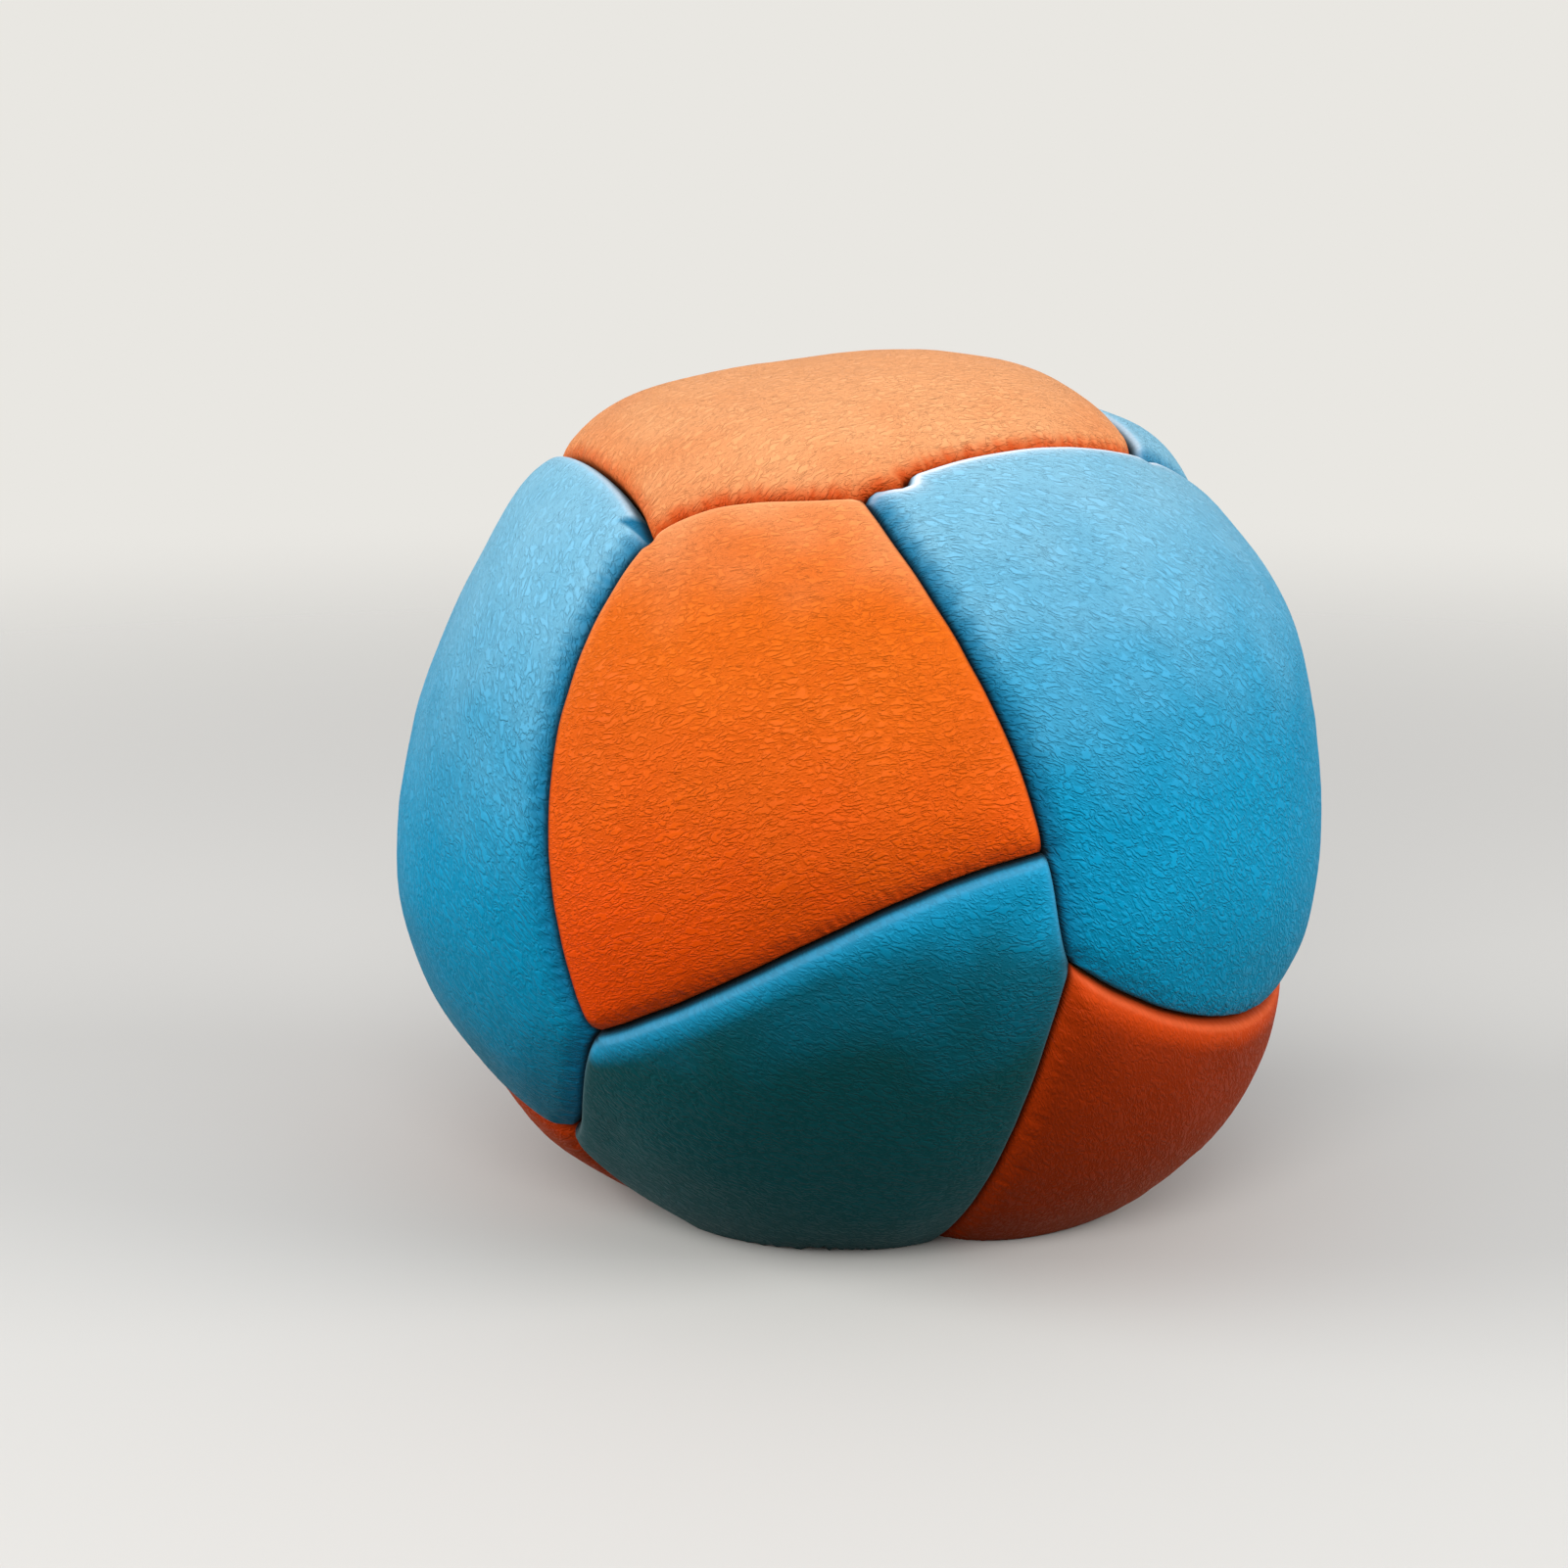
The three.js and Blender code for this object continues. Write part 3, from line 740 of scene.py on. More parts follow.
def fold_shade_share(ways, gaps, lit_share, name):
    """How far each point lies in the black painted shade of a fold or a corner pit."""
    tucked = tucked_fold * band_widening.get(name, 1)
    widths = np.where(side_kinds(name), shaded_fold + (lit_fold - shaded_fold) * lit_share, tucked)
    widths = widths * per_side(name, fold_shade_scales, 1)
    fold_shade = (1 - smooth_step(fold_core, 1, gaps / widths)) * per_side(name, tight_seams, 1) ** 0.5
    return np.maximum(fold_shade.max(axis=1), 1 - smooth_step(*corner_shade, corner_gaps(ways, name)))


def rim_highlight_share(gaps, lit_share, name):
    """How much painted highlight each point gets on a proud edge that faces the light."""
    from_rub = (gaps - highlight_lines.get(name, highlight_line)) / highlight_width
    rim = np.exp(-(from_rub**2)) + halo_strength * np.exp(-((from_rub / halo_width) ** 2))
    highlighted = (np.minimum(rim, 1) * lit_share * side_kinds(name)).max(axis=1)
    return highlight_strength.get(name, 1) * highlighted


def painted_light_and_grain(ways, gaps, places, name):
    """The numbers that the material reads, for each point of the outside."""
    proud = side_kinds(name)
    # How squarely each edge faces the painted light, for painted highlights, fold widths and lit
    # rims
    lit_share = smooth_step(*lit_facing, edge_light_facing(ways, places, name))
    lit_share = np.maximum(lit_share, per_side(name, lit_seams, 0))
    # A crumple's hollow is painted dark as shade too, and takes no painted highlight
    crumple, _ = crumple_at(gaps, places, name)
    tuck_shade = np.maximum(tuck_shade_share(gaps, places, name), crumple)
    drift = np.array([noise.noise(Vector(way) * drift_scale) for way in ways])
    high = ways[:, 2] + height_drift * drift
    edge_gaps = np.where(proud, gaps, far_away).min(axis=1)
    grain = least_grain + (1 - least_grain) * smooth_step(*stretched_smooth, edge_gaps)
    softened = 1 - soft_below * smooth_step(*soft_heights, high)
    full_shade_at, shade_starts_at, shine_starts_at = painted_light_heights[panels[name][0]]
    # Painted highlight: the top is painted paler, standing in for the sky shining on it
    painted_shine = smooth_step(panel_shine_starts.get(name, shine_starts_at), shine_full_at, high)
    # Painted shade: the underside is painted darker, and less so on proud rims that face the light
    low_shade = most_low_shade * (1 - smooth_step(full_shade_at, shade_starts_at, high))
    low_shade = low_shade + panel_low_shade.get(name, 0) * smooth_step(*low_heights, high)
    lit_gaps = np.where(proud, gaps + 2 * lit_rim[1] * (1 - lit_share), far_away).min(axis=1)
    left_over = rim_low_shade.get(name, usual_rim_low_shade)
    low_shade = low_shade * (left_over + (1 - left_over) * smooth_step(*lit_rim, lit_gaps))
    return {
        "painted_shine": most_painted_shine * painted_shine * (1 - shade_hides_shine * np.minimum(tuck_shade, 1)),
        # Painted shade tint: the colour gets richer downwards, as it looks in shade
        "shade_tint": smooth_step(*shade_tint_heights, high),
        "underside_shade": np.clip(low_shade, 0, 1),
        "tuck_shade": np.minimum(tuck_shade, 1),
        "rim_highlight": rim_highlight_share(gaps, lit_share, name) * (1 - crumple),
        "fold_shade": fold_shade_share(ways, gaps, lit_share, name),
        "grain": grain * grain_strength.get(name, 1) * softened,
    }


print("faded from a height of", painted_light_heights["orange"][2], "on orange leather")

# %% [markdown]
# ## From directions to a mesh
#
# The rings of the outside, the fold, the allowance and the lining are put together here. Each
# point also gets its place on the flat hide that the panel was cut from, in millimetres. That
# lets the grain run over the panel without stretching, and each panel was cut at its own angle.

# %% Build the eight panels
grain_turns = {
    "top": 80, "front": -32, "lower_right": 20, "lower_left": 70,
    "left": 60, "right": 35, "lower_front": 0, "back": 120,
}
# How far in the distance from the seams is tried out, as a share of the way to the middle
tried_share = 0.01
# The hidden leather is painted with full shade, as dark as a fold
hidden_shade = {"tuck_shade": 1, "fold_shade": 1}


def flat_places(ways, middle, turn):
    """Where each direction lies on the flat hide, in mm from the panel's middle."""
    east = unit(np.cross([0.3, 0.1, 1.0], middle))
    north = np.cross(middle, east)
    angle = np.arccos(np.clip(ways @ middle, -1, 1))
    flat = np.stack([ways @ east, ways @ north], axis=1)
    flat = flat / np.maximum(np.linalg.norm(flat, axis=1), 1e-9)[:, None]
    flat = flat * (angle * body_half_width)[:, None]
    cosine, sine = math.cos(math.radians(turn)), math.sin(math.radians(turn))
    return flat @ np.array([[cosine, sine], [-sine, cosine]])


def cover_radius(ways, gaps, places, name):
    """The outside of the leather, in mm from the bag's middle."""
    radius = body_radius(ways) + swell(gaps) + edge_rise(gaps, name) + pushed_out(ways, gaps)
    radius = radius - pucker(gaps, places, name) - crumple_at(gaps, places, name)[1]
    pit = pit_depth * np.exp(-((corner_gaps(ways, name) / pit_reach) ** 2))
    folded = rest_on_floor(ways, radius) - np.maximum(fold_drop(gaps, name), pit)
    return np.maximum(folded, rest_on_floor(ways, body_radius(ways)) - deepest_fold)


def panel_mesh(name):
    """Points in mm, faces, and the numbers that the material reads."""
    edge = outline(name)
    middle = unit(edge.sum(axis=0))
    tried = seam_distances(between(edge, middle, tried_share), name)[0].min(axis=1)
    edge_radius = body_radius(edge)

    def inset(distance, level, radius=edge_radius):
        """Directions that lie a distance in from the seams, at a radius."""
        share = (distance * edge_radius / radius / (tried / tried_share))[:: 2**level, None]
        return between(edge[:: 2**level], middle, share)

    half_gap = seam_opening / 2
    rings = [between(inset(half_gap, level), middle, share)
             for share, level in ring_layout()[::-1]]
    outer = np.concatenate([middle[None], *rings])
    gaps, places = seam_distances(outer, name)
    radii = [cover_radius(outer, gaps, places, name)]

    seam_line = rest_on_floor(edge, edge_radius)
    tip_radius = seam_line - (seam_depth + allowance_depth)
    wall = half_gap + leather_thickness
    for radius, level in [*((seam_line - drop, level) for drop, level in flank_drops),
                          (tip_radius, lining_level)]:
        rings.append(inset(half_gap, level, radius))
        radii.append(radius[:: 2**level])
    rings.append(inset(wall, lining_level, tip_radius))
    radii.append(tip_radius[:: 2**lining_level])

    lining = [inset(wall, lining_level)]
    lining += [between(lining[0], middle, share) for share in lining_shares]
    rings += lining
    inner = np.concatenate([*lining, middle[None]])
    inner_gaps, _ = seam_distances(inner, name)
    inner_radius = body_radius(inner) + swell(inner_gaps) + edge_rise(inner_gaps, name)
    radii.append(rest_on_floor(inner, inner_radius) - leather_thickness)

    ways = np.concatenate([middle[None], *rings, middle[None]])
    points = ways * np.concatenate(radii)[:, None] + placed_at
    masks = painted_light_and_grain(outer, gaps, places, name)
    inside = len(ways) - len(outer)
    masks = {mask: np.concatenate([values, np.full(inside, hidden_shade.get(mask, 0))])
             for mask, values in masks.items()}
    return points, joined(rings), masks, flat_places(ways, middle, grain_turns[name])


def make_panel(name):
    points, faces, masks, flat = panel_mesh(name)
    mesh = bpy.data.meshes.new(f"leather_{name}")
    mesh.from_pydata((points * millimetre).tolist(), [], faces)
    mesh.shade_smooth()
    for mask, values in masks.items():
        mesh.attributes.new(mask, "FLOAT", "POINT").data.foreach_set("value", values)
    corner_points = np.empty(len(mesh.loops), int)
    mesh.loops.foreach_get("vertex_index", corner_points)
    hide = mesh.uv_layers.new(name="hide")
    hide.data.foreach_set("uv", flat[corner_points].ravel())
    mesh.update()
    panel = bpy.data.objects.new(f"leather_{name}", mesh)
    bpy.context.scene.collection.objects.link(panel)
    return panel


leather = {name: make_panel(name) for name in panels}
for name, piece in leather.items():
    print(piece.name, len(piece.data.vertices), "points", len(piece.data.polygons), "faces")

# %% [markdown]
# ## One helper for materials
#
# Colours are written as the hex values of a colour picker and turned into the linear light that
# the shader works in. One function adds a node, sets it up and links it. Sockets without a name
# of their own go by number: 1 to 4 of Map Range are the ends that it reads and those that it
# gives, and 0, 6 and 7 of Mix are its factor and its two colours.

# %% Write the material helpers


def linear(hex_colour):
    """sRGB hex to the linear colour that the shader expects."""
    channels = [int(hex_colour[i : i + 2], 16) / 255 for i in (1, 3, 5)]
    curve = [c / 12.92 if c <= 0.04045 else ((c + 0.055) / 1.055) ** 2.4 for c in channels]
    return (*curve, 1)


def add(tree, kind, inputs=None, **settings):
    """A node of a kind with its settings, whose inputs are values or other nodes' outputs."""
    made = tree.nodes.new(kind)
    for setting, value in settings.items():
        setattr(made, setting, value)
    for socket, value in (inputs or {}).items():
        if isinstance(value, bpy.types.NodeSocket):
            tree.links.new(value, made.inputs[socket])
        else:
            made.inputs[socket].default_value = value
    return made


def new_material(name, hex_colour):
    """A material with an empty tree, its shader and its output."""
    material = bpy.data.materials.new(name)
    material.use_nodes = True
    material.diffuse_color = linear(hex_colour)
    tree = material.node_tree
    tree.nodes.clear()
    shader = add(tree, "ShaderNodeBsdfPrincipled")
    add(tree, "ShaderNodeOutputMaterial", {"Surface": shader.outputs[0]})
    return material, tree, shader


print("orange in linear light", [round(x, 3) for x in linear("#EE6A12")])

# %% [markdown]
# ## Garment leather
#
# The panels are thin full-grain garment leather, drum dyed and lightly finished. That gives a
# satin surface with a fine wrinkled grain that runs mostly one way, and the wrinkles are painted a
# little darker as shade. They are drawn 0.4 to 0.5 mm apart, as in the photograph. Each
# wrinkle follows a line where one of two soft noises passes through its middle value, so that
# the wrinkles cross and enclose little ridges, as they do on hide. Light and shade are painted
# into the colour too: a dark painted shade band where an edge is tucked under its neighbour,
# nearly black painted shade in the fold itself, where the thread pulls it in, and a pale painted
# highlight on a proud edge that faces the light.

# %% Mix the dyed leather
# Pitches, sizes and depths are in mm on the flat hide
wrinkle_pitches, wrinkle_stretch = {"orange": 0.4, "blue": 0.46}, 2.2
wrinkle_depths = {"orange": 0.065, "blue": 0.08}
# A noise of scale 1 has one middle line in about so many units, and the wrinkles' width in it
noise_lines, wrinkle_width = 0.85, 0.09
sway_size, sway_reach = 5, 0.9
pore_pitch, pore_share = 0.25, 0.1
blotch_size, blotch_range = 9, (0.3, 0.7)
most_blotch, most_wrinkle_shade = 0.35, 0.28
# The face is the dye and the deep tone its blotches, which is also painted into the wrinkles as
# shade. The other colours paint light and shade: a shade tint low down, the sky shine on top, shade
# below, in tucked bands and in folds, and a highlight on lit rims
leather_hexes = {
    "orange": {"face": "#E06A10", "deep_tone_and_shade": "#C44A00", "shade_tint": "#EA4600", "tuck_shade": "#C03A02",
               "rim_highlight": "#FDB27C", "painted_shine": "#EEBC88", "underside_shade": "#8C2800", "fold_shade": "#3C1205"},
    "blue": {"face": "#0C9AC6", "deep_tone_and_shade": "#0078A4", "shade_tint": "#0092BC", "tuck_shade": "#0E6A92",
             "rim_highlight": "#F0EEF2", "painted_shine": "#A8D4E4", "underside_shade": "#004044", "fold_shade": "#16222A"},
}
# The painted shade that is multiplied into the wrinkles
wrinkle_shade_hex = "#DCD4CA"
# The pale nap that light skims over, most where the leather turns away from the eye
nap_hexes = {"orange": "#FFA254", "blue": "#CCECF0"}
# How strongly the painted rim highlight and the painted tuck shade are laid on
highlight_shares, tuck_shade_strength = {"orange": 0.75, "blue": 0.8}, 0.85
valley_roughness, ridge_roughness = 0.68, 0.52
leather_shine = {"IOR": 1.5, "Specular IOR Level": 0.08, "Sheen Weight": 0.06,
                 "Sheen Roughness": 0.35}


def wrinkle_ridges(tree, hide, pitch):
    """1 on the little ridges of the hide and 0 along the wrinkles between them."""
    middle = (0.5, 0.5, 0.5)
    sway = add(tree, "ShaderNodeTexNoise", {"Vector": hide, "Scale": 1 / sway_size, "Detail": 1.0})
    swayed = add(tree, "ShaderNodeVectorMath", {0: sway.outputs["Color"], 1: middle},
                 operation="SUBTRACT")
    swayed = add(tree, "ShaderNodeVectorMath", {0: swayed.outputs[0], "Scale": sway_reach},
                 operation="SCALE")
    place = add(tree, "ShaderNodeVectorMath", {0: hide, 1: swayed.outputs[0]}, operation="ADD")
    stretched = add(tree, "ShaderNodeVectorMath",
                    {0: place.outputs[0], 1: (1 / wrinkle_stretch, 1, 1)}, operation="MULTIPLY")
    wrinkle = add(tree, "ShaderNodeTexNoise",
                  {"Vector": stretched.outputs[0], "Scale": noise_lines / pitch,
                   "Detail": 2.0, "Roughness": 0.5, "Distortion": 0.25})
    past = add(tree, "ShaderNodeVectorMath", {0: wrinkle.outputs["Color"], 1: middle},
               operation="SUBTRACT")
    past = add(tree, "ShaderNodeVectorMath", {0: past.outputs[0]}, operation="ABSOLUTE")
    past = add(tree, "ShaderNodeSeparateXYZ", {0: past.outputs[0]}).outputs
    nearest = add(tree, "ShaderNodeMath", {0: past[0], 1: past[1]}, operation="MINIMUM")
    return add(tree, "ShaderNodeMapRange",
               {"Value": nearest.outputs[0], 1: 0.0, 2: wrinkle_width, 3: 0.0, 4: 1.0},
               interpolation_type="SMOOTHSTEP").outputs[0]


def dyed_leather(name, hexes):
    material, tree, shader = new_material(f"{name}_garment_leather", hexes["face"])
    hide = add(tree, "ShaderNodeUVMap", uv_map="hide").outputs[0]
    shading_and_grain = {mask: add(tree, "ShaderNodeAttribute", attribute_name=mask).outputs["Fac"]
            for mask in ("shade_tint", "painted_shine", "underside_shade", "rim_highlight", "tuck_shade", "fold_shade", "grain")}
    ridge = wrinkle_ridges(tree, hide, wrinkle_pitches[name])
    pores = add(tree, "ShaderNodeTexNoise",
                {"Vector": hide, "Scale": 1 / pore_pitch, "Detail": 1.0})
    height = add(tree, "ShaderNodeMath", {0: pores.outputs["Fac"], 1: pore_share, 2: ridge},
                 operation="MULTIPLY_ADD")
    bump = add(tree, "ShaderNodeBump",
               {"Strength": shading_and_grain["grain"], "Distance": wrinkle_depths[name] * millimetre,
                "Height": height.outputs[0]})
    blotch = add(tree, "ShaderNodeTexNoise",
                 {"Vector": hide, "Scale": 1 / blotch_size, "Detail": 3.0})
    uneven = add(tree, "ShaderNodeMapRange",
                 {"Value": blotch.outputs["Fac"], 1: blotch_range[0], 2: blotch_range[1],
                  3: 0.0, 4: most_blotch})
    # The wrinkles are painted darker as shade, on top of their bump. The blotches are the dye's own
    # tone
    wrinkle_shade = add(tree, "ShaderNodeMapRange",
                 {"Value": ridge, 1: 0.0, 2: 0.8, 3: most_wrinkle_shade, 4: 0}).outputs[0]
    depth = add(tree, "ShaderNodeMath", {0: uneven.outputs[0], 1: wrinkle_shade}, operation="MAXIMUM")
    highlighted = add(tree, "ShaderNodeMath", {0: shading_and_grain["rim_highlight"], 1: highlight_shares[name]},
                 operation="MULTIPLY")
    tucked = add(tree, "ShaderNodeMath", {0: shading_and_grain["tuck_shade"], 1: tuck_shade_strength}, operation="MULTIPLY")
    colour = linear(hexes["face"])
    # Painted light and shade are laid over the dye's face and blotches, one layer after another
    for share, hex_colour, blend in [
        (shading_and_grain["shade_tint"], hexes["shade_tint"], "MIX"),
        (depth.outputs[0], hexes["deep_tone_and_shade"], "MIX"),
        (shading_and_grain["painted_shine"], hexes["painted_shine"], "MIX"),
        (shading_and_grain["underside_shade"], hexes["underside_shade"], "MIX"),
        (wrinkle_shade, wrinkle_shade_hex, "MULTIPLY"),
        (highlighted.outputs[0], hexes["rim_highlight"], "MIX"),
        (tucked.outputs[0], hexes["tuck_shade"], "MIX"),
        (shading_and_grain["fold_shade"], hexes["fold_shade"], "MIX"),
    ]:
        colour = add(tree, "ShaderNodeMix", {0: share, 6: colour, 7: linear(hex_colour)},
                     data_type="RGBA", blend_type=blend).outputs[2]
    rough = add(tree, "ShaderNodeMapRange",
                {"Value": ridge, 1: 0, 2: 1, 3: valley_roughness, 4: ridge_roughness})
    for socket, value in {"Base Color": colour, "Roughness": rough.outputs[0],
                          "Normal": bump.outputs[0]}.items():
        tree.links.new(value, shader.inputs[socket])
    for socket, value in {**leather_shine, "Sheen Tint": linear(nap_hexes[name])}.items():
        shader.inputs[socket].default_value = value
    return material


leather_finishes = {name: dyed_leather(name, hexes) for name, hexes in leather_hexes.items()}
for name, piece in leather.items():
    piece.data.materials.append(leather_finishes[panels[name][0]])
print("leather:", sorted(leather_finishes))

# %% [markdown]
# ## Waxed thread
#
# The panels are sewn with a waxed polyester thread 0.7 mm thick. It is twisted from three
# strands, and wax gives it a dull shine. It lies inside the seams and shows only as darkness in
# them. Single strands would be too fine to show, so the twist is drawn as one slanting band to
# a whole turn, about 3 mm long.

# %% Twist the thread
# A radian of the twist in mm along one axis, which makes a turn 3.3 mm long on the slant
twist_radian, twist_depth = 0.9, 0.1
# Blender's slanting waves turn by so many radians in a unit at scale 1
wave_radians = 10


def waxed_thread():
    material, tree, shader = new_material("waxed_polyester_thread", "#1B1D20")
    place = add(tree, "ShaderNodeTexCoord").outputs["Object"]
    twist = add(tree, "ShaderNodeTexWave",
                {"Vector": place, "Scale": 1 / (twist_radian * millimetre) / wave_radians,
                 "Distortion": 1.5}, bands_direction="DIAGONAL")
    bump = add(tree, "ShaderNodeBump",
               {"Distance": twist_depth * millimetre, "Height": twist.outputs["Fac"]})
    # The grooves of the twist are painted darker as shade, and its crests lighter
    colour = add(tree, "ShaderNodeMix", {0: twist.outputs["Fac"], 6: linear("#0E0F11"),
                                         7: linear("#26292D")}, data_type="RGBA")
    tree.links.new(colour.outputs[2], shader.inputs["Base Color"])
    tree.links.new(bump.outputs[0], shader.inputs["Normal"])
    shader.inputs["Roughness"].default_value = 0.55
    return material


thread_finish = waxed_thread()
for name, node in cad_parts.items():
    if name.startswith("stitches"):
        node.data.materials.clear()
        node.data.materials.append(thread_finish)
print("thread on", sum(name.startswith("stitches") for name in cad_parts), "seams")

# %% [markdown]
# ## Plastic pellets
#
# The filling is some 1,500 polypropylene pellets, the short rods that an extruder's knife leaves,
# 3.5 mm across with rounded ends. Nobody sees them unless the bag is opened. Shaken down they lie
# nearly as close as they can, so they start on the lattice of stacked oranges, each turned its
# own way and shifted a little. A pellet is left out where the leather, the seam allowances or the
# thread need the room. A physics simulation of the pour would take far longer for the same heap.

# %% Pour in the pellets
pellet_radius, pellet_half_length = 1.75, 1.45
# Each ring's share of the radius and of the half length
pellet_rings = [(0.72, 1), (1, 0.6), (1, -0.6), (0.72, -1)]
pellet_sides = 8
pellet_spacing, pellet_shift = 4.0, 0.04
pellet_reach, thread_clear = 1.95, 2.35
lattice_turn, pellet_seed = (0.5, 0.3, 0.9), 12


def lattice(spacing, reach):
    """Points of close-packed balls within reach of the middle, in mm, turned off the axes."""
    count = math.ceil(reach / spacing * math.sqrt(2))
    steps = np.arange(-count, count + 1)
    grid = np.stack(np.meshgrid(steps, steps, steps), axis=-1).reshape(-1, 3)
    grid = grid[grid.sum(axis=1) % 2 == 0] * spacing / math.sqrt(2)
    turned = grid @ np.array(Euler(lattice_turn).to_matrix())
    return turned[np.linalg.norm(turned, axis=1) < reach]


def has_room(points):
    """Whether a pellet at each point is clear of the leather, its allowances and the thread."""
    away = np.linalg.norm(points, axis=1)
    ways = unit(points + 1e-6)
    from_seam = nearest_seam(ways)
    radius = body_radius(ways)
    lining = radius + swell(from_seam[:, None]) - gutter_depth - leather_thickness
    room = rest_on_floor(ways, lining) - away > pellet_reach
    under_floor = centre_height + points[:, 2] - leather_thickness > pellet_reach
    below = away + pellet_reach < radius - seam_depth - allowance_depth
    beside = from_seam * away / radius - pellet_reach > thread_clear
    return room & under_floor & (below | beside)


def pour_pellets():
    dice = np.random.default_rng(pellet_seed)
    middles = lattice(pellet_spacing, body_half_width)
    middles = middles[has_room(middles)]
    middles = middles + dice.uniform(-pellet_shift, pellet_shift, middles.shape)
    angles = np.arange(pellet_sides) * 2 * math.pi / pellet_sides
    rod = np.array([
        (share * pellet_radius * math.cos(angle), share * pellet_radius * math.sin(angle),
         high * pellet_half_length)
        for share, high in pellet_rings for angle in angles
    ])
    turns = dice.uniform(0, 2 * math.pi, (len(middles), 3))
    turns = np.array([Euler(angle).to_matrix() for angle in turns.tolist()])
    points = np.einsum("nij,kj->nki", turns, rod) + middles[:, None] + placed_at
    rings = np.arange(len(rod)).reshape(len(pellet_rings), pellet_sides)
    skin = [rings[0].tolist(), rings[-1][::-1].tolist()]
    for ring, onward in zip(rings, rings[1:]):
        skin += np.stack([ring, onward, np.roll(onward, -1), np.roll(ring, -1)], axis=1).tolist()
    faces = [[v + n * len(rod) for v in face] for n in range(len(middles)) for face in skin]
    mesh = bpy.data.meshes.new("pellets")
    mesh.from_pydata((points.reshape(-1, 3) * millimetre).tolist(), [], faces)
    mesh.shade_smooth()
    shade = np.repeat(dice.uniform(0, 1, len(middles)), len(rod))
    mesh.attributes.new("batch", "FLOAT", "POINT").data.foreach_set("value", shade)
    heap = bpy.data.objects.new("pellets", mesh)
    bpy.context.scene.collection.objects.link(heap)
    return heap, len(middles)


pellets, pellet_count = pour_pellets()
print(pellet_count, "pellets", len(pellets.data.polygons), "faces")

# %% [markdown]
# ## Moulded plastic
#
# Polypropylene straight from the extruder is milky and waxy, with a soft shine. Each pellet has
# its own faint tint, and the knife and the die leave its skin a little uneven.

# %% Colour the pellets
skin_pitch, skin_depth, skin_strength = 0.8, 0.05, 0.4


def pellet_plastic():
    material, tree, shader = new_material("extruded_polypropylene", "#D9D6CB")
    batch = add(tree, "ShaderNodeAttribute", attribute_name="batch").outputs["Fac"]
    place = add(tree, "ShaderNodeTexCoord").outputs["Object"]
    uneven = add(tree, "ShaderNodeTexNoise",
                 {"Vector": place, "Scale": 1 / (skin_pitch * millimetre)})
    bump = add(tree, "ShaderNodeBump", {"Strength": skin_strength, "Height": uneven.outputs["Fac"],
                                        "Distance": skin_depth * millimetre})
    colour = add(tree, "ShaderNodeMix", {0: batch, 6: linear("#E8E5DC"), 7: linear("#CBC7BA")},
                 data_type="RGBA")
    tree.links.new(colour.outputs[2], shader.inputs["Base Color"])
    tree.links.new(bump.outputs[0], shader.inputs["Normal"])
    shader.inputs["Roughness"].default_value = 0.4
    shader.inputs["IOR"].default_value = 1.49
    return material


pellets.data.materials.append(pellet_plastic())
print("pellets coloured:", pellets.data.materials[0].name)

# %% [markdown]
# ## Fastening the pieces
#
# Nothing on the bag turns or slides, so every piece rides on the one body. Each leather panel
# stands for the plain panel of the same name, which is hidden. The pellets stand for the plain
# filling, which is hidden too.

# %% Ride on the bag
for name, piece in leather.items():
    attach(piece, "root")
    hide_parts(f"panel_{name}")
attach(pellets, "root")
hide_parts("pellet_fill")
print("pieces fastened:", len(leather) + 1)

# %% [markdown]
# ## A quiet studio
#
# The bag stands on a pale floor that fades into the pale surroundings. The air above lights it
# softly, as an open sky would. A round lamp in front and one on either side model the panels'
# swell and give their edges a soft shine. The floor is darker to the light that bounces off it
# than to the eye, so that the underside stays in shade.

# %% Set the floor and the lights
floor_hex, bounce_hex = "#C4C2BD", "#36382C"
# The floor's side, and how far from the bag it starts to fade and is gone, in metres
floor_size, fade_start, fade_end = 1.2, 0.12, 0.34
# Each lamp's place in metres and its watts
lamps = {
    "front_light": ((-0.05, -0.44, 0.26), 1.66),
    "left_light": ((-0.42, -0.05, 0.23), 1.4),
    "right_light": ((0.42, -0.12, 0.2), 1.55),
}
lamp_size = 0.3
sky_hex, surroundings_hex = "#F6F8FF", "#E9E7E2"
# How high the sky's light starts and is full, and its strength below and above
sky_heights, sky_strengths = (0.1, 0.6), (0.03, 0.66)


def seen_rays(tree):
    """1 for what the eye sees, straight, mirrored or through glass, and 0 for bounced light."""
    path = add(tree, "ShaderNodeLightPath").outputs
    seen = path["Is Camera Ray"]
    for also in ("Is Glossy Ray", "Is Transmission Ray"):
        seen = add(tree, "ShaderNodeMath", {0: seen, 1: path[also]}, operation="MAXIMUM").outputs[0]
    return seen


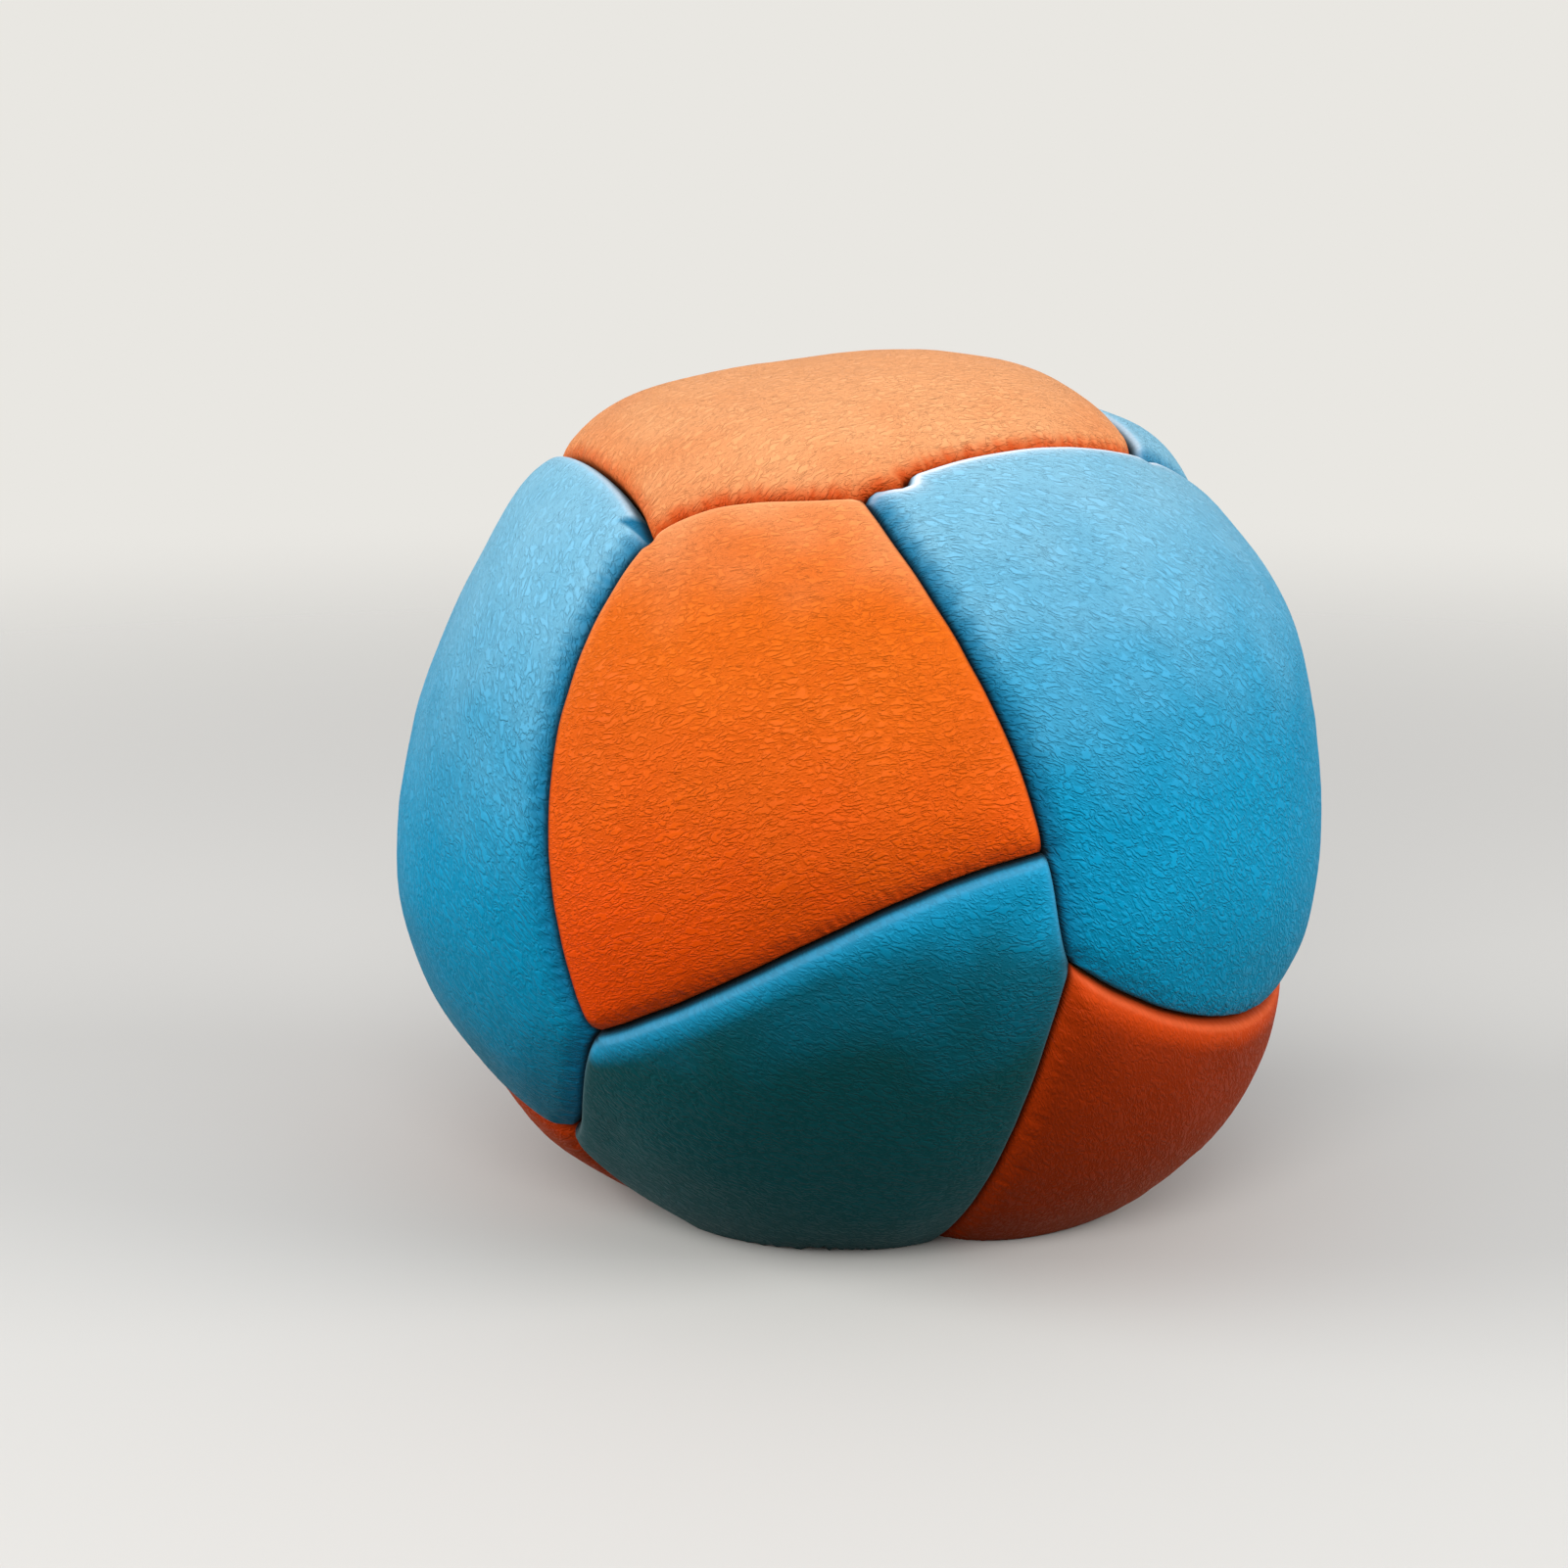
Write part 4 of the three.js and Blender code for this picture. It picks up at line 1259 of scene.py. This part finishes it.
def pale_floor():
    material, tree, shader = new_material("painted_board", floor_hex)
    colour = add(tree, "ShaderNodeMix", {0: seen_rays(tree), 6: linear(bounce_hex),
                                         7: linear(floor_hex)}, data_type="RGBA")
    tree.links.new(colour.outputs[2], shader.inputs["Base Color"])
    shader.inputs["Roughness"].default_value = 0.8
    place = add(tree, "ShaderNodeTexCoord").outputs["Object"]
    far = add(tree, "ShaderNodeVectorMath", {0: place}, operation="LENGTH")
    fade = add(tree, "ShaderNodeMapRange",
               {"Value": far.outputs["Value"], 1: fade_start, 2: fade_end, 3: 0.0, 4: 1.0},
               interpolation_type="SMOOTHSTEP")
    clear = add(tree, "ShaderNodeBsdfTransparent")
    painted_shine = add(tree, "ShaderNodeMixShader",
                {0: fade.outputs[0], 1: shader.outputs[0], 2: clear.outputs[0]})
    tree.links.new(painted_shine.outputs[0], tree.nodes["Material Output"].inputs["Surface"])
    return material


def flat_board(name, size):
    half = size / 2
    mesh = bpy.data.meshes.new(name)
    mesh.from_pydata([(-half, -half, 0), (half, -half, 0), (half, half, 0), (-half, half, 0)],
                     [], [(0, 1, 2, 3)])
    board = bpy.data.objects.new(name, mesh)
    bpy.context.scene.collection.objects.link(board)
    return board


def soft_light(name, place, watts):
    lamp = bpy.data.lights.new(name, "AREA")
    lamp.shape = "DISK"
    lamp.size = lamp_size
    lamp.energy = watts
    light = bpy.data.objects.new(name, lamp)
    light.location = place
    light.rotation_euler = (bag_centre - Vector(place)).to_track_quat("-Z", "Y").to_euler()
    bpy.context.scene.collection.objects.link(light)


def pale_surroundings():
    world = bpy.data.worlds.new("surroundings")
    world.use_nodes = True
    tree = world.node_tree
    tree.nodes.clear()
    sky = add(tree, "ShaderNodeTexCoord").outputs["Generated"]
    up = add(tree, "ShaderNodeSeparateXYZ", {0: sky}).outputs["Z"]
    above = add(tree, "ShaderNodeMapRange",
                {"Value": up, 1: sky_heights[0], 2: sky_heights[1],
                 3: sky_strengths[0], 4: sky_strengths[1]})
    light_air = add(tree, "ShaderNodeBackground",
                    {"Color": linear(sky_hex), "Strength": above.outputs[0]})
    seen_air = add(tree, "ShaderNodeBackground",
                   {"Color": linear(surroundings_hex), "Strength": 1.0})
    air = add(tree, "ShaderNodeMixShader",
              {0: seen_rays(tree), 1: light_air.outputs[0], 2: seen_air.outputs[0]})
    add(tree, "ShaderNodeOutputWorld", {"Surface": air.outputs[0]})
    return world


floor = flat_board("floor", floor_size)
floor.data.materials.append(pale_floor())
for name, (place, watts) in lamps.items():
    soft_light(name, place, watts)
bpy.context.scene.world = pale_surroundings()
bpy.context.scene.view_settings.view_transform = "Standard"

# %% [markdown]
# ## Bringing the scene up to date
#
# The leather has to stay the size of the plain solids. The scene is brought up to date at the end.

# %% Bring the scene up to date
bpy.context.view_layer.update()
